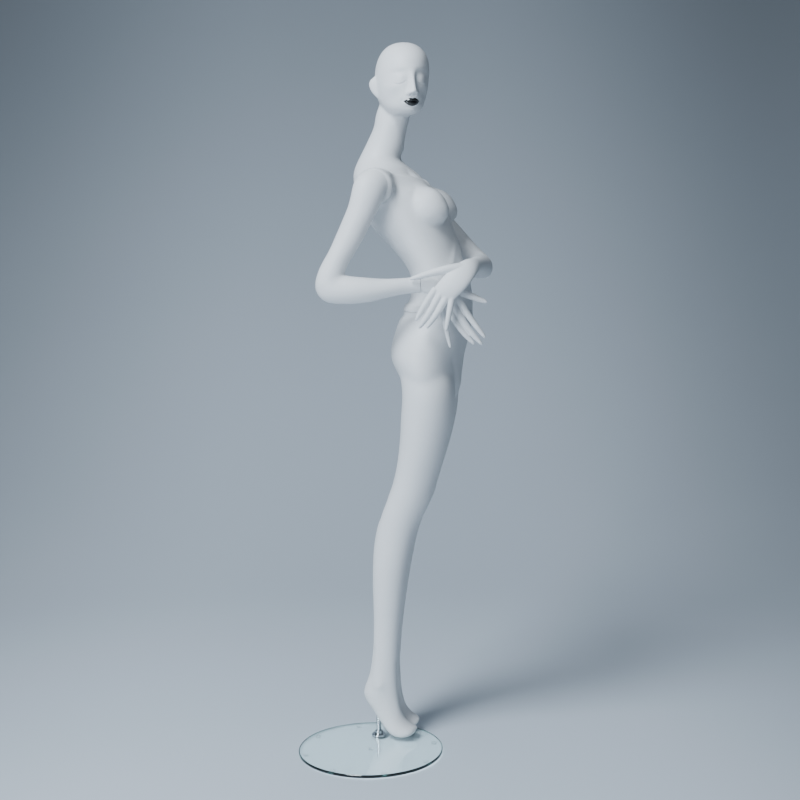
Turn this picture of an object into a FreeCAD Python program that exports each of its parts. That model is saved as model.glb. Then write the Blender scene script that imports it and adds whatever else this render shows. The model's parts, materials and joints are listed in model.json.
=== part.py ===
import FreeCAD, Part
import math
import os

# A full body display mannequin: a hollow moulded figure that comes apart at the waist,
# the left hip, the shoulders and the wrists, and stands on a round glass base with a
# chromed foot rod.  Millimetres, +Z up, origin under the middle of the base.  The figure
# faces -Y, so its left side is towards +X.

Vec = FreeCAD.Vector

# ---------------------------------------------------------------- driving dimensions
BASE_DIAMETER = 380.0        # glass disc
GLASS_THICKNESS = 8.0
GLASS_EDGE = 1.5             # ground bevel round both rims of the glass
BUMPER_HEIGHT = 4.0
BUMPER_DIAMETER = 16.0
BUMPER_COUNT = 8
BUMPER_INSET = 18.0          # bumper centres in from the rim

ROD_DIAMETER = 12.0
ROD_X = 90.0                 # rod axis from the middle of the base
ROD_Y = -4.0
ROD_INSERTION = 88.0         # length of rod inside the foot
FLANGE_DIAMETER = 38.0
FLANGE_THICKNESS = 5.0
HUB_DIAMETER = 21.0
HUB_HEIGHT = 9.0
GASKET_THICKNESS = 1.0
BOLT_DIAMETER = 8.0
BOLT_GRIP = 22.0             # thread length inside the rod
BOLT_HEAD_DIAMETER = 20.0
BOLT_HEAD_HEIGHT = 2.0
WASHER_DIAMETER = 28.0
WASHER_THICKNESS = 1.2
BUSH_WALL = 1.5

FIGURE_HEIGHT = 1828.0       # sole to crown
WALL = 3.5                   # glass-fibre shell
SEAM_GAP = 0.6               # between two mating shells
BOARD_FIT = 0.4              # round the edge of every seam board
BOARD_THICKNESS = 14.0
SOLE_CLEARANCE = 0.8         # sole above the glass

SOCKET_WALL = 1.6
LINER_WALL = 1.9
LINER_LENGTH = 30.0
RUNNING_FIT = 0.05           # radial, for what turns or slides
THRUST_PLUG_HEIGHT = 6.0
SET_SCREW_DIAMETER = 6.0
SET_SCREW_LENGTH = 11.0
SET_SCREW_CLEARANCE = 2.0    # between the liner's top and the screw
LINER_RISE = 15.0            # liner above the mouth of the foot socket

PLATE_THICKNESS = 3.0        # keyhole and stud plates
SHOULDER_PLATE_DIAMETER = 46.0
HIP_PLATE_DIAMETER = 60.0
STUD_NECK_DIAMETER = 8.0
STUD_HEAD_DIAMETER = 15.0
STUD_HEAD_THICKNESS = 3.0
STUD_CLEARANCE = 0.5
UNLOCK_STROKE = 10.0
SCREW_DIAMETER = 4.0
SCREW_HEAD_DIAMETER = 7.6
SCREW_LENGTH = 12.0

WAIST_PLATE_WIDTH = 74.0
WAIST_PEG_WIDTH = 25.0
WAIST_PEG_LENGTH = 42.0
WAIST_PEG_FIT = 0.35
WAIST_SLEEVE_WALL = 2.0
WAIST_PEG_END_GAP = 4.0
WAIST_PEG_LEAD = 2.0         # chamfer on the peg's end

HAND_PEG_DIAMETER = 12.0
HAND_PEG_LENGTH = 24.0
HAND_PEG_ROOT = 14.0         # part of the peg cast into the hand
HAND_PEG_END_GAP = 3.0
HAND_PEG_FLAT = 4.4          # half width over the flat that keeps the hand from turning
WRIST_SOCKET_WALL = 1.5

RING_POLES = 12

# ---------------------------------------------------------------- placing the figure
REFERENCE_HEIGHT = 1828.0    # height at which the station tables are written
REFERENCE_SOLE = 12.0        # station height of the sole plane
SOCKET_STATION = (-35.0, -4.0)   # where the rod enters the right foot, from the mid-plane
GROWTH = FIGURE_HEIGHT / REFERENCE_HEIGHT
GLASS_TOP = BUMPER_HEIGHT + GLASS_THICKNESS
WIDE = 400.0                 # further than any part of the figure reaches from its seams


def at(x, y, z):
    """Point of the figure, from stations measured off its mid-plane and the sole plane."""
    return Vec(
        ROD_X + (x - SOCKET_STATION[0]) * GROWTH,
        ROD_Y + (y - SOCKET_STATION[1]) * GROWTH,
        GLASS_TOP + SOLE_CLEARANCE + (z - REFERENCE_SOLE) * GROWTH,
    )


# ---------------------------------------------------------------- shape helpers
def ring(centre, half_a, half_b):
    """Elliptical station of a skin: its centre and two half axes."""
    return (centre, half_a, half_b)


def level_ring(x, z, back, front, half_width):
    """Level station between a back and a front point."""
    centre = at(x, (back + front) / 2.0, z)
    return ring(centre, Vec(0, (back - front) / 2.0 * GROWTH, 0), Vec(half_width * GROWTH, 0, 0))


def span_ring(x, first, second, half_width):
    """Station whose (y, z) extremes are two given points, standing square to the mid-plane."""
    start = at(x, first[0], first[1])
    end = at(x, second[0], second[1])
    return ring((start + end) * 0.5, (start - end) * 0.5, Vec(half_width * GROWTH, 0, 0))


def turned_ring(centre, direction, across, half_across, half_other):
    """Station square to a direction, with one half axis along across."""
    normal = Vec(direction).normalize()
    first = Vec(across) - normal * normal.dot(Vec(across))
    first.normalize()
    other = normal.cross(first)
    return ring(centre, first * (half_across * GROWTH), other * (half_other * GROWTH))


def shorten(axis, inset):
    """Half axis made shorter by a wall, but never turned round."""
    return axis * max(0.12, 1.0 - inset / axis.Length)


def skin(rings, inset=0.0):
    """Closed solid with a smooth skin through elliptical stations."""
    reach = 3.0 / (2.0 + math.cos(2.0 * math.pi / RING_POLES))
    net = []
    for step in range(RING_POLES):
        angle = 2.0 * math.pi * step / RING_POLES
        row = []
        for centre, half_a, half_b in rings:
            a = shorten(half_a, inset) * (reach * math.cos(angle))
            b = shorten(half_b, inset) * (reach * math.sin(angle))
            row.append(centre + a + b)
        net.append(row)
    along = len(rings)
    surface = Part.BSplineSurface()
    surface.buildFromPolesMultsKnots(
        net,
        [1] * (RING_POLES + 1),
        [4] + [1] * (along - 4) + [4],
        [float(k) for k in range(RING_POLES + 1)],
        [float(k) for k in range(along - 2)],
        True, False, 3, 3,
    )
    side = surface.toShape()
    caps = [Part.Face(Part.Wire([edge])) for edge in side.Edges if edge.isClosed()]
    shell = Part.Shell([side] + caps)
    shell.sewShape()
    solid = Part.Solid(shell)
    if solid.Volume < 0:
        solid.reverse()
    return solid


def moved_rings(rings, shift):
    """The same stations, shifted."""
    return [ring(centre + shift, a, b) for centre, a, b in rings]


def fuse(shapes):
    """One solid out of several that overlap."""
    joined = shapes[0].fuse(shapes[1:]) if len(shapes) > 1 else shapes[0]
    return joined.Solids[0] if len(joined.Solids) == 1 else joined


def box(low, high):
    """Box between two corners."""
    return Part.makeBox(high.x - low.x, high.y - low.y, high.z - low.z, low)


def disc(radius, height, base, axis=Vec(0, 0, 1)):
    """Cylinder from a point along an axis."""
    return Part.makeCylinder(radius, height, base, axis)


def placed(shape, origin, normal, up):
    """Local shape (x along normal, z along up) moved to its seat."""
    x_axis = Vec(normal).normalize()
    z_axis = Vec(up) - x_axis * x_axis.dot(Vec(up))
    z_axis.normalize()
    y_axis = z_axis.cross(x_axis)
    matrix = FreeCAD.Matrix(
        x_axis.x, y_axis.x, z_axis.x, origin.x,
        x_axis.y, y_axis.y, z_axis.y, origin.y,
        x_axis.z, y_axis.z, z_axis.z, origin.z,
        0, 0, 0, 1,
    )
    moved = shape.copy()
    moved.Placement = FreeCAD.Placement(matrix)
    return moved


def save(name, shape):
    """Write one sub-part and report what it is."""
    solids = shape.Solids
    print("%-28s solids %d valid %s volume %.0f" % (name, len(solids), shape.isValid(), shape.Volume))
    shape.exportStep("parts/%s.step" % name)


# ---------------------------------------------------------------- stations of the figure
WAIST_Z = 1158.0
CROTCH_Z = 925.0

PELVIS = [  # height, back, front, half width
    (1158, -84, -262, 124), (1140, -80, -261, 130), (1120, -71, -257, 140), (1095, -59, -250, 152),
    (1065, -51, -243, 161), (1035, -52, -236, 166), (1005, -69, -233, 167), (975, -82, -229, 158),
    (950, -90, -222, 138), (925, -98, -212, 104),
]
LEG = [  # height, back, front, half width, distance of the axis from the mid-plane
    (1040, -90, -190, 52, 86), (1015, -88, -212, 66, 85), (985, -88, -224, 75, 84.5),
    (955, -92, -229, 79, 84), (925, -90, -228, 79, 82.5), (885, -86, -223, 76, 79),
    (840, -83, -212, 71, 74), (790, -77, -198, 65, 68.5), (735, -66, -178, 57, 61),
    (690, -52, -164, 52, 56), (645, -30, -144, 49, 52), (605, -16, -123, 46, 49),
    (560, -5, -106, 44, 47), (515, 1, -97, 43.5, 46), (465, 3, -87, 42, 45),
    (415, 4, -79, 38, 43), (360, 3, -71, 33, 41), (305, 4, -64, 28.5, 39),
    (255, 7, -59, 26.5, 37.5), (210, 13, -56, 27, 36.5), (178, 19, -56, 28.5, 36),
]
FOOT = [  # under/back point, upper/front point, half width, distance from the mid-plane
    ((31, 152), (-57, 156), 29, 35.5), ((39, 128), (-58, 134), 28, 35.5), ((25, 104), (-60, 112), 27, 35.5),
    ((6, 78), (-64, 90), 27.5, 36), ((-11, 51), (-71, 68), 31, 36.5), ((-29, 25), (-84, 53), 35, 36.5),
    ((-48, 12), (-95, 45), 36, 36.5), ((-71, 12), (-102, 42), 35, 35), ((-89, 14), (-106, 40), 29, 33),
    ((-101, 22), (-109, 38), 19, 31), ((-106, 29), (-110, 36), 8, 29.5),
]
LEFT_LEG_SET_BACK = ((1000, 17), (880, 15), (700, 9), (600, 4), (300, 6), (100, 4))
LEFT_LEG_SPREAD = 4.0

TORSO = [  # height, back, front, half width
    (1158, -84, -262, 124), (1172, -90, -263, 120), (1190, -99, -263, 115), (1215, -109, -260, 111),
    (1250, -109, -253, 110), (1295, -82, -236, 115), (1335, -42, -226, 120), (1372, -6, -214, 126),
    (1405, 16, -200, 130), (1440, 31, -187, 131), (1472, 41, -164, 126), (1500, 45, -131, 110),
    (1520, 43, -110, 88), (1535, 38, -92, 68), (1547, 32, -76, 56), (1562, 25, -80, 48),
    (1585, 12, -88, 43), (1608, 1, -92, 41), (1632, -12, -97, 41), (1655, -20, -104, 41),
    (1672, -26, -107, 40),
]
CHEST = (72.0, -167.0, 1418.0, 52.0)       # out, forward, height, radius
SHOULDER_SEAM = 140.0
RIGHT_SHOULDER = (-37.0, 1475.0)
LEFT_SHOULDER = (-72.0, 1468.0)
SHOULDER_RADII = (48.5, 47.0)
SHOULDER_STUB = [  # out, share of the seam's depth, further back, lower, larger by
    (45, 2.0 / 3.0, -17, 12, (16, 12)), (80, 1, 4, 6, (9, 6)), (112, 1, 5, 1, (4, 3)),
    (SHOULDER_SEAM, 1, 0, 0, (0, 0)),
]
BOARD_OVERRUN = 2.4          # stub carried past the seam, so that its board is cut flat

FACE_TURN = 60.0                            # degrees, towards the figure's right
HEAD_AXIS = (-18.0, -85.0)
HEAD = [  # height, forward, backward, half width, axis further ahead
    (1653, 52, 8, 22, 0), (1659, 66, 28, 33, 0), (1671, 77, 44, 44, 0), (1690, 83, 62, 55, 0),
    (1708, 86, 77, 62, 0), (1730, 88, 84, 65.5, 1), (1752, 89, 88, 67, 3), (1773, 87, 90, 67, 5),
    (1794, 80, 87, 64, 7), (1812, 68, 76, 57, 8), (1827, 50, 59, 45, 8), (1837, 30, 40, 30, 8),
    (1840, 12, 18, 13, 8),
]


def eased(table, z):
    """Value at a height from a short list of (height, value), straight between entries."""
    if z >= table[0][0]:
        return table[0][1]
    for (high, upper), (low, lower) in zip(table, table[1:]):
        if z >= low:
            return lower + (upper - lower) * (z - low) / (high - low)
    return table[-1][1]


def leg_rings(side):
    """Stations of a leg with its foot; side is -1 for the right and +1 for the left."""
    rings = []
    for z, back, front, half_width, out in LEG:
        shift = eased(LEFT_LEG_SET_BACK, z) if side > 0 else 0.0
        x = side * (out + (LEFT_LEG_SPREAD if side > 0 else 0.0))
        rings.append(level_ring(x, z, back + shift, front + shift, half_width))
    for under, upper, half_width, out in FOOT:
        shift = eased(LEFT_LEG_SET_BACK, under[1]) if side > 0 else 0.0
        x = side * (out + (LEFT_LEG_SPREAD if side > 0 else 0.0))
        rings.append(span_ring(x, (under[0] + shift, under[1]), (upper[0] + shift, upper[1]), half_width))
    return rings


def pelvis_rings():
    """Stations of the hips from the waist seam down."""
    return [level_ring(0, z, back, front, half) for z, back, front, half in PELVIS]


HOLLOW_LEG_STATIONS = len(LEG) - 1          # the foot below these stations is cast solid


def lower_figure(inset):
    """Hips and both legs as one solid, drawn in by an inset for the hollow."""
    hips = pelvis_rings()
    legs = [leg_rings(-1), leg_rings(1)]
    if inset:
        hips[-1:] = moved_rings(hips[-1:], Vec(0, 0, inset))
        legs = [rings[:HOLLOW_LEG_STATIONS] for rings in legs]
    return fuse([skin(hips, inset)] + [skin(rings, inset) for rings in legs])


def torso_rings():
    """Stations of the trunk and neck, from the waist seam up."""
    return [level_ring(0, z, back, front, half) for z, back, front, half in TORSO]


def head_rings():
    """Stations of the head, turned with the face."""
    turn = math.radians(FACE_TURN)
    face = Vec(-math.sin(turn), -math.cos(turn), 0)
    cheek = Vec(-face.y, face.x, 0)
    rings = []
    for z, forward, backward, half_width, ahead in HEAD:
        centre = at(HEAD_AXIS[0], HEAD_AXIS[1] - ahead, z) + face * ((forward - backward) / 2.0 * GROWTH)
        length = (forward + backward) / 2.0 * GROWTH
        rings.append(ring(centre, face * length, cheek * (half_width * GROWTH)))
    return rings


def shoulder_of(side):
    """Depth and height of a shoulder seam's centre."""
    return RIGHT_SHOULDER if side < 0 else LEFT_SHOULDER


def shoulder_rings(side, reach):
    """Stations of the stub that ends in a round shoulder seam, carried on by reach."""
    depth, height = shoulder_of(side)
    rings = []
    for out, share, back, drop, (deeper, taller) in SHOULDER_STUB:
        centre = at(side * out, depth * share + back, height - drop)
        deep_axis = Vec(0, -(SHOULDER_RADII[0] + deeper) * GROWTH, 0)
        tall_axis = Vec(0, 0, (SHOULDER_RADII[1] + taller) * GROWTH)
        rings.append(ring(centre, deep_axis, tall_axis))
    if reach:
        centre, deep_axis, tall_axis = rings[-1]
        rings.append(ring(centre + Vec(side * reach, 0, 0), deep_axis, tall_axis))
    return rings


WAIST_SHIFT = Vec(0, 0, SEAM_GAP)           # everything above the waist seam stands this much higher


def upper_figure(inset):
    """Trunk, neck, head and shoulder stubs as one solid, drawn in by an inset for the hollow."""
    out, forward, height, radius = CHEST
    head = head_rings()
    if inset:
        head.pop()
        head[-1:] = moved_rings(head[-1:], Vec(0, 0, -inset))
        head[:1] = moved_rings(head[:1], Vec(0, 0, inset))
    skins = [torso_rings(), head]
    for side in (-1, 1):
        skins.append(shoulder_rings(side, BOARD_OVERRUN if inset else 0.0))
    parts = [skin(moved_rings(rings, WAIST_SHIFT), inset) for rings in skins]
    for side in (-1, 1):
        centre = at(side * out, forward, height) + WAIST_SHIFT
        parts.append(Part.makeSphere(radius * GROWTH - inset, centre))
    return fuse(parts)


# ---------------------------------------------------------------- arms
RIGHT_SHOULDER_BEND = [  # centre x, y, z; half depth and its dip; other half axis and its lean
    (-140, -37, 1475, 48.5, 0, 47, 0), (-156.4, -30, 1473, 44, 0, 46, 20.5),
    (-170, -25, 1452, 39.5, 6, 37, 50), (-171, -14, 1424, 36.5, 12, 30.5, 87),
    (-173, -4, 1402, 34.5, 24, 30, 90), (-177, 14, 1365, 33, 25, 29.5, 90),
    (-182, 32, 1330, 30.5, 25, 28.5, 90), (-186, 46, 1303, 28.5, 25, 28, 90),
]
RIGHT_ELBOW_AND_FOREARM = [  # x; inner (y, z); outer (y, z); half width
    (-188, (29, 1272), (88, 1290), 28.5), (-190, (32, 1264), (102, 1262), 29.5),
    (-190, (32.5, 1260.5), (111, 1221), 30), (-190, (31, 1257), (88, 1187), 31),
    (-189, (20, 1254), (40, 1184), 31.5), (-187, (0, 1252), (2, 1185), 31),
    (-182, (-30, 1249), (-31, 1189), 29), (-176, (-65, 1246), (-66, 1198), 25.5),
    (-167, (-104, 1247), (-104, 1207), 21.5), (-159, (-135, 1249), (-134, 1210), 18.5),
    (-154, (-156, 1250), (-156, 1211), 17.5),
]
LEFT_ARM = [  # inner (x, reach); outer (x, reach); half width; rise out of the plane of the arm
    ((140, 47), (140, -47), 47, 0), ((141.3, 45.2), (172.7, -41.2), 46, 0),
    ((142, 46), (200, 0), 41, 0), ((143, 56), (205, 50), 37, 0), ((141.7, 76), (203, 84), 35, 0),
    ((131.7, 123.5), (192.3, 136.5), 33.5, 0), ((120.6, 173.8), (179.4, 186.2), 31, 0),
    ((113, 216), (169, 228), 29, 0), ((109, 243), (165, 254), 28.5, 0),
    ((106, 249), (164, 281), 29.5, 0), ((103, 251), (148, 308), 30, 0), ((98, 252), (116, 315), 31, 0),
    ((88, 253), (92, 315), 31.5, 1), ((66, 254), (66, 314), 31, 2), ((30, 256), (30, 309), 28, 4),
    ((-10, 259), (-10, 305), 24, 7), ((-55, 262), (-55, 303), 20.5, 9), ((-95, 264), (-95, 303), 18, 11),
    ((-124, 264.5), (-124, 303), 17, 11.3),
]
LEFT_REACH = Vec(0, -1, -1).normalize()     # the left arm swings forward and down in one plane
LEFT_RISE = Vec(0, -1, 1).normalize()


def right_arm_rings():
    """Stations of the right arm, from the shoulder seam round the elbow to the wrist seam."""
    rings = []
    for x, y, z, half_deep, dip, half_other, lean in RIGHT_SHOULDER_BEND:
        fall = math.radians(dip)
        tip = math.radians(lean)
        deep_axis = Vec(0, -math.cos(fall), -math.sin(fall)) * (half_deep * GROWTH)
        other_axis = Vec(-math.sin(tip), 0, math.cos(tip)) * (half_other * GROWTH)
        rings.append(ring(at(x, y, z), deep_axis, other_axis))
    for x, inner, outer, half_width in RIGHT_ELBOW_AND_FOREARM:
        start = at(x, inner[0], inner[1])
        end = at(x, outer[0], outer[1])
        rings.append(ring((start + end) * 0.5, (start - end) * 0.5, Vec(-half_width * GROWTH, 0, 0)))
    return rings


def left_arm_point(x, reach, rise):
    """Point of the left arm from its place across the body and along the plane it lies in."""
    depth, height = LEFT_SHOULDER
    return at(x, depth, height) + LEFT_REACH * (reach * GROWTH) + LEFT_RISE * (rise * GROWTH)


def left_arm_rings():
    """Stations of the left arm, from the shoulder seam round the elbow to the wrist seam."""
    rings = []
    for inner, outer, half_width, rise in LEFT_ARM:
        start = left_arm_point(inner[0], inner[1], rise)
        end = left_arm_point(outer[0], outer[1], rise)
        rings.append(ring((start + end) * 0.5, (start - end) * 0.5, LEFT_RISE * (half_width * GROWTH)))
    return rings


def arm_rings(side):
    """Stations of one arm in its place, clear of the trunk by the seam gap."""
    rings = right_arm_rings() if side < 0 else left_arm_rings()
    return moved_rings(rings, WAIST_SHIFT + Vec(side * SEAM_GAP, 0, 0))


# ---------------------------------------------------------------- hands
RIGHT_PALM = [  # thumb-side point, little-finger-side point, half thickness
    ((-154, -156, 1250), (-154, -156, 1211), 17.5), ((-152, -172, 1250), (-153, -166, 1209), 16.5),
    ((-150, -203, 1243), (-151, -178, 1201), 15.5), ((-149, -234, 1222), (-151, -190, 1188), 14),
    ((-149, -255, 1194), (-151, -200, 1168), 11), ((-149, -259, 1183), (-151, -203, 1160), 6),
]
RIGHT_FINGERS = {
    "index": ((-149, -247, 1193), (-150, -272, 1153), (-148, -293, 1123), (-144, -313, 1097)),
    "middle": ((-150, -234, 1183), (-152, -259, 1138), (-149, -281, 1106), (-144, -305, 1080)),
    "ring": ((-151, -219, 1178), (-153, -243, 1133), (-150, -264, 1103), (-146, -286, 1081)),
    "little": ((-152, -207, 1176), (-155, -213, 1138), (-153, -219, 1106), (-150, -226, 1073)),
    "thumb": ((-149, -196, 1228), (-144, -245, 1213), (-140, -284, 1199), (-137, -317, 1184)),
}
LEFT_PALM = [
    ((-124, -266.8, 1289.2), (-124, -294.4, 1261.6), 17), ((-140, -264, 1290), (-140, -295, 1259.5), 16),
    ((-158, -251, 1284), (-163, -293, 1252), 14.5), ((-178, -231, 1266), (-184, -281, 1234), 13.5),
    ((-188, -208, 1243), (-191, -264, 1213), 12.5), ((-190, -186, 1214), (-192, -244, 1197), 10.5),
    ((-190, -184, 1205), (-192, -240, 1188), 5),
]
LEFT_FINGERS = {
    "index": ((-190, -193, 1215), (-191, -171, 1183), (-188, -157, 1162), (-185, -146, 1143)),
    "middle": ((-191, -208, 1207), (-192, -185, 1168), (-189, -168, 1143), (-185, -154, 1124)),
    "ring": ((-191, -224, 1202), (-192, -205, 1168), (-189, -188, 1145), (-186, -173, 1124)),
    "little": ((-190, -238, 1202), (-192, -231, 1165), (-190, -226, 1140), (-187, -221, 1117)),
    "thumb": ((-165, -254, 1271), (-181, -221, 1268), (-186, -180, 1259), (-185, -132, 1245)),
}
FINGER_ROOT = 9.0            # finger carried on behind its first joint, into the palm
TIP_START = 0.7              # where the rounding of a finger end starts, in tip radii
TIP_END = 0.35               # radius left at the very tip
ROOT_TAPER = 0.8
FINGER_FLATNESS = 0.95
FINGER_RADII = {
    "index": (9.6, 8.4, 7.2, 4.9), "middle": (9.9, 8.6, 7.3, 4.9), "ring": (9.5, 8.2, 7.0, 4.7),
    "little": (8.4, 7.2, 6.2, 4.2), "thumb": (14.0, 11.0, 8.8, 5.6),
}


def finger_rings(points, radii, across):
    """Stations of a finger, rooted inside the palm and rounded at the tip."""
    joints = [at(*point) for point in points]
    root = joints[0] + (joints[0] - joints[1]).normalize() * (FINGER_ROOT * GROWTH)
    end_direction = (joints[3] - joints[2]).normalize()
    path = [root, joints[0], (joints[0] + joints[1]) * 0.5, joints[1], joints[2]]
    path += [joints[3] - end_direction * (radii[3] * TIP_START * GROWTH), joints[3]]
    middle = (radii[0] + radii[1]) / 2.0
    sizes = [radii[0] * ROOT_TAPER, radii[0], middle, radii[1], radii[2], radii[3]]
    sizes.append(radii[3] * TIP_END)
    rings = []
    for step, (centre, radius) in enumerate(zip(path, sizes)):
        before = path[max(step - 1, 0)]
        after = path[min(step + 1, len(path) - 1)]
        rings.append(turned_ring(centre, after - before, across, radius, radius * FINGER_FLATNESS))
    return rings


def palm_rings(stations, wrist_normal):
    """Stations of a palm; the first one lies in the wrist seam."""
    edges = [(at(*first), at(*second)) for first, second, half in stations]
    centres = [(first + second) * 0.5 for first, second in edges]
    rings = []
    for step, ((first, second), station) in enumerate(zip(edges, stations)):
        run = wrist_normal
        if step:
            run = centres[min(step + 1, len(centres) - 1)] - centres[step - 1]
        half_a = (first - second) * 0.5
        half_b = run.cross(half_a)
        half_b.normalize()
        rings.append(ring(centres[step], half_a, half_b * (station[2] * GROWTH)))
    return rings


WRIST_NORMAL = {-1: Vec(0, -1, 0), 1: Vec(-1, 0, 0)}


def hand_shift(side):
    """How far a hand stands off its drawn place: both seam gaps."""
    return WAIST_SHIFT + Vec(side * SEAM_GAP, 0, 0) + WRIST_NORMAL[side] * SEAM_GAP


def hand_solid(side):
    """A hand cast in one piece."""
    palm = RIGHT_PALM if side < 0 else LEFT_PALM
    fingers = RIGHT_FINGERS if side < 0 else LEFT_FINGERS
    shift = hand_shift(side)
    pieces = [skin(moved_rings(palm_rings(palm, WRIST_NORMAL[side]), shift))]
    for name, points in fingers.items():
        rings = finger_rings(points, FINGER_RADII[name], Vec(1, 0, 0))
        pieces.append(skin(moved_rings(rings, shift)))
    return fuse(pieces)


# ---------------------------------------------------------------- keyhole fittings
# Local frame: x = 0 is the parent's seam face, x grows towards the child, and the child
# moves along +z to bring the stud's head in line with the round hole.
ALONG_X = Vec(1, 0, 0)


def slot_solid(radius, low_x, high_x):
    """Upright slot with round ends, as long as the unlocking stroke."""
    depth = high_x - low_x
    low_end = disc(radius, depth, Vec(low_x, 0, 0), ALONG_X)
    high_end = disc(radius, depth, Vec(low_x, 0, UNLOCK_STROKE), ALONG_X)
    middle = box(Vec(low_x, -radius, 0), Vec(high_x, radius, UNLOCK_STROKE))
    return low_end.fuse([high_end, middle]).removeSplitter()


def countersunk_screw(face, direction, length=SCREW_LENGTH):
    """Countersunk screw with its head flush in a face, pointing along a direction."""
    radius = SCREW_DIAMETER / 2.0
    head = SCREW_HEAD_DIAMETER / 2.0
    cone = Part.makeCone(head, radius, head - radius, face, direction)
    shank = disc(radius, length, face, direction)
    return cone.fuse(shank).removeSplitter()


def plate_screws(diameter, face_x, direction):
    """The two screws of a round plate, either side of its stud."""
    spread = diameter / 2.0 - SCREW_HEAD_DIAMETER / 2.0 - 2.0
    return [countersunk_screw(Vec(face_x, side * spread, 0), direction) for side in (-1, 1)]


POCKET_DEPTH = STUD_HEAD_THICKNESS + 2.0 * STUD_CLEARANCE


def keyhole_plate(diameter):
    """Plate whose slot holds the neck of the stud."""
    plate = disc(diameter / 2.0, PLATE_THICKNESS, Vec(-PLATE_THICKNESS, 0, 0), ALONG_X)
    slot = slot_solid(STUD_NECK_DIAMETER / 2.0 + STUD_CLEARANCE, -PLATE_THICKNESS, 0)
    way_in = disc(STUD_HEAD_DIAMETER / 2.0 + STUD_CLEARANCE, PLATE_THICKNESS,
                  Vec(-PLATE_THICKNESS, 0, UNLOCK_STROKE), ALONG_X)
    return plate.cut(slot.fuse(way_in)).cut(plate_screws(diameter, 0, -ALONG_X))


def keyhole_seat(diameter):
    """What the parent's board loses: the plate's recess, the head's pocket, the screw holes."""
    recess = disc(diameter / 2.0, PLATE_THICKNESS + SEAM_GAP, Vec(-PLATE_THICKNESS, 0, 0), ALONG_X)
    pocket = slot_solid(STUD_HEAD_DIAMETER / 2.0 + STUD_CLEARANCE,
                        -PLATE_THICKNESS - POCKET_DEPTH, -PLATE_THICKNESS)
    return recess.fuse([pocket] + plate_screws(diameter, 0, -ALONG_X))


def stud_plate(diameter):
    """Plate with the headed stud that hangs in the keyhole."""
    plate = disc(diameter / 2.0, PLATE_THICKNESS, Vec(SEAM_GAP, 0, 0), ALONG_X)
    neck_end = -PLATE_THICKNESS - STUD_CLEARANCE
    neck = disc(STUD_NECK_DIAMETER / 2.0, SEAM_GAP - neck_end, Vec(neck_end, 0, 0), ALONG_X)
    head = disc(STUD_HEAD_DIAMETER / 2.0, STUD_HEAD_THICKNESS, Vec(neck_end, 0, 0), -ALONG_X)
    return plate.fuse([neck, head]).cut(plate_screws(diameter, SEAM_GAP, ALONG_X))


def stud_seat(diameter):
    """What the child's board loses: the plate's recess and the screw holes."""
    recess = disc(diameter / 2.0, PLATE_THICKNESS, Vec(SEAM_GAP, 0, 0), ALONG_X)
    return recess.fuse(plate_screws(diameter, SEAM_GAP, ALONG_X))


def save_keyhole_joint(parent, child, diameter, seat, extent, parent_stock, child_stock):
    """Boards, plates and screws on both sides of a seam that hangs on a keyhole.

    The extent says how far the boards may reach down, up and to either side of the stud.
    """
    origin, normal, up = seat
    down, rise, beside = extent

    def local(shape):
        return placed(shape, origin, normal, up)

    parent_slab = box(Vec(-BOARD_THICKNESS, -beside, -down), Vec(0, beside, rise))
    child_slab = box(Vec(SEAM_GAP, -beside, -down), Vec(SEAM_GAP + BOARD_THICKNESS, beside, rise))
    save(parent + "_board", parent_stock.common(local(parent_slab)).cut(local(keyhole_seat(diameter))))
    save(parent + "_socket_plate", local(keyhole_plate(diameter)))
    save(parent + "_socket_screws", local(Part.makeCompound(plate_screws(diameter, 0, -ALONG_X))))
    save(child + "_board", child_stock.common(local(child_slab)).cut(local(stud_seat(diameter))))
    save(child + "_stud_plate", local(stud_plate(diameter)))
    save(child + "_stud_screws", local(Part.makeCompound(plate_screws(diameter, SEAM_GAP, ALONG_X))))


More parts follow.
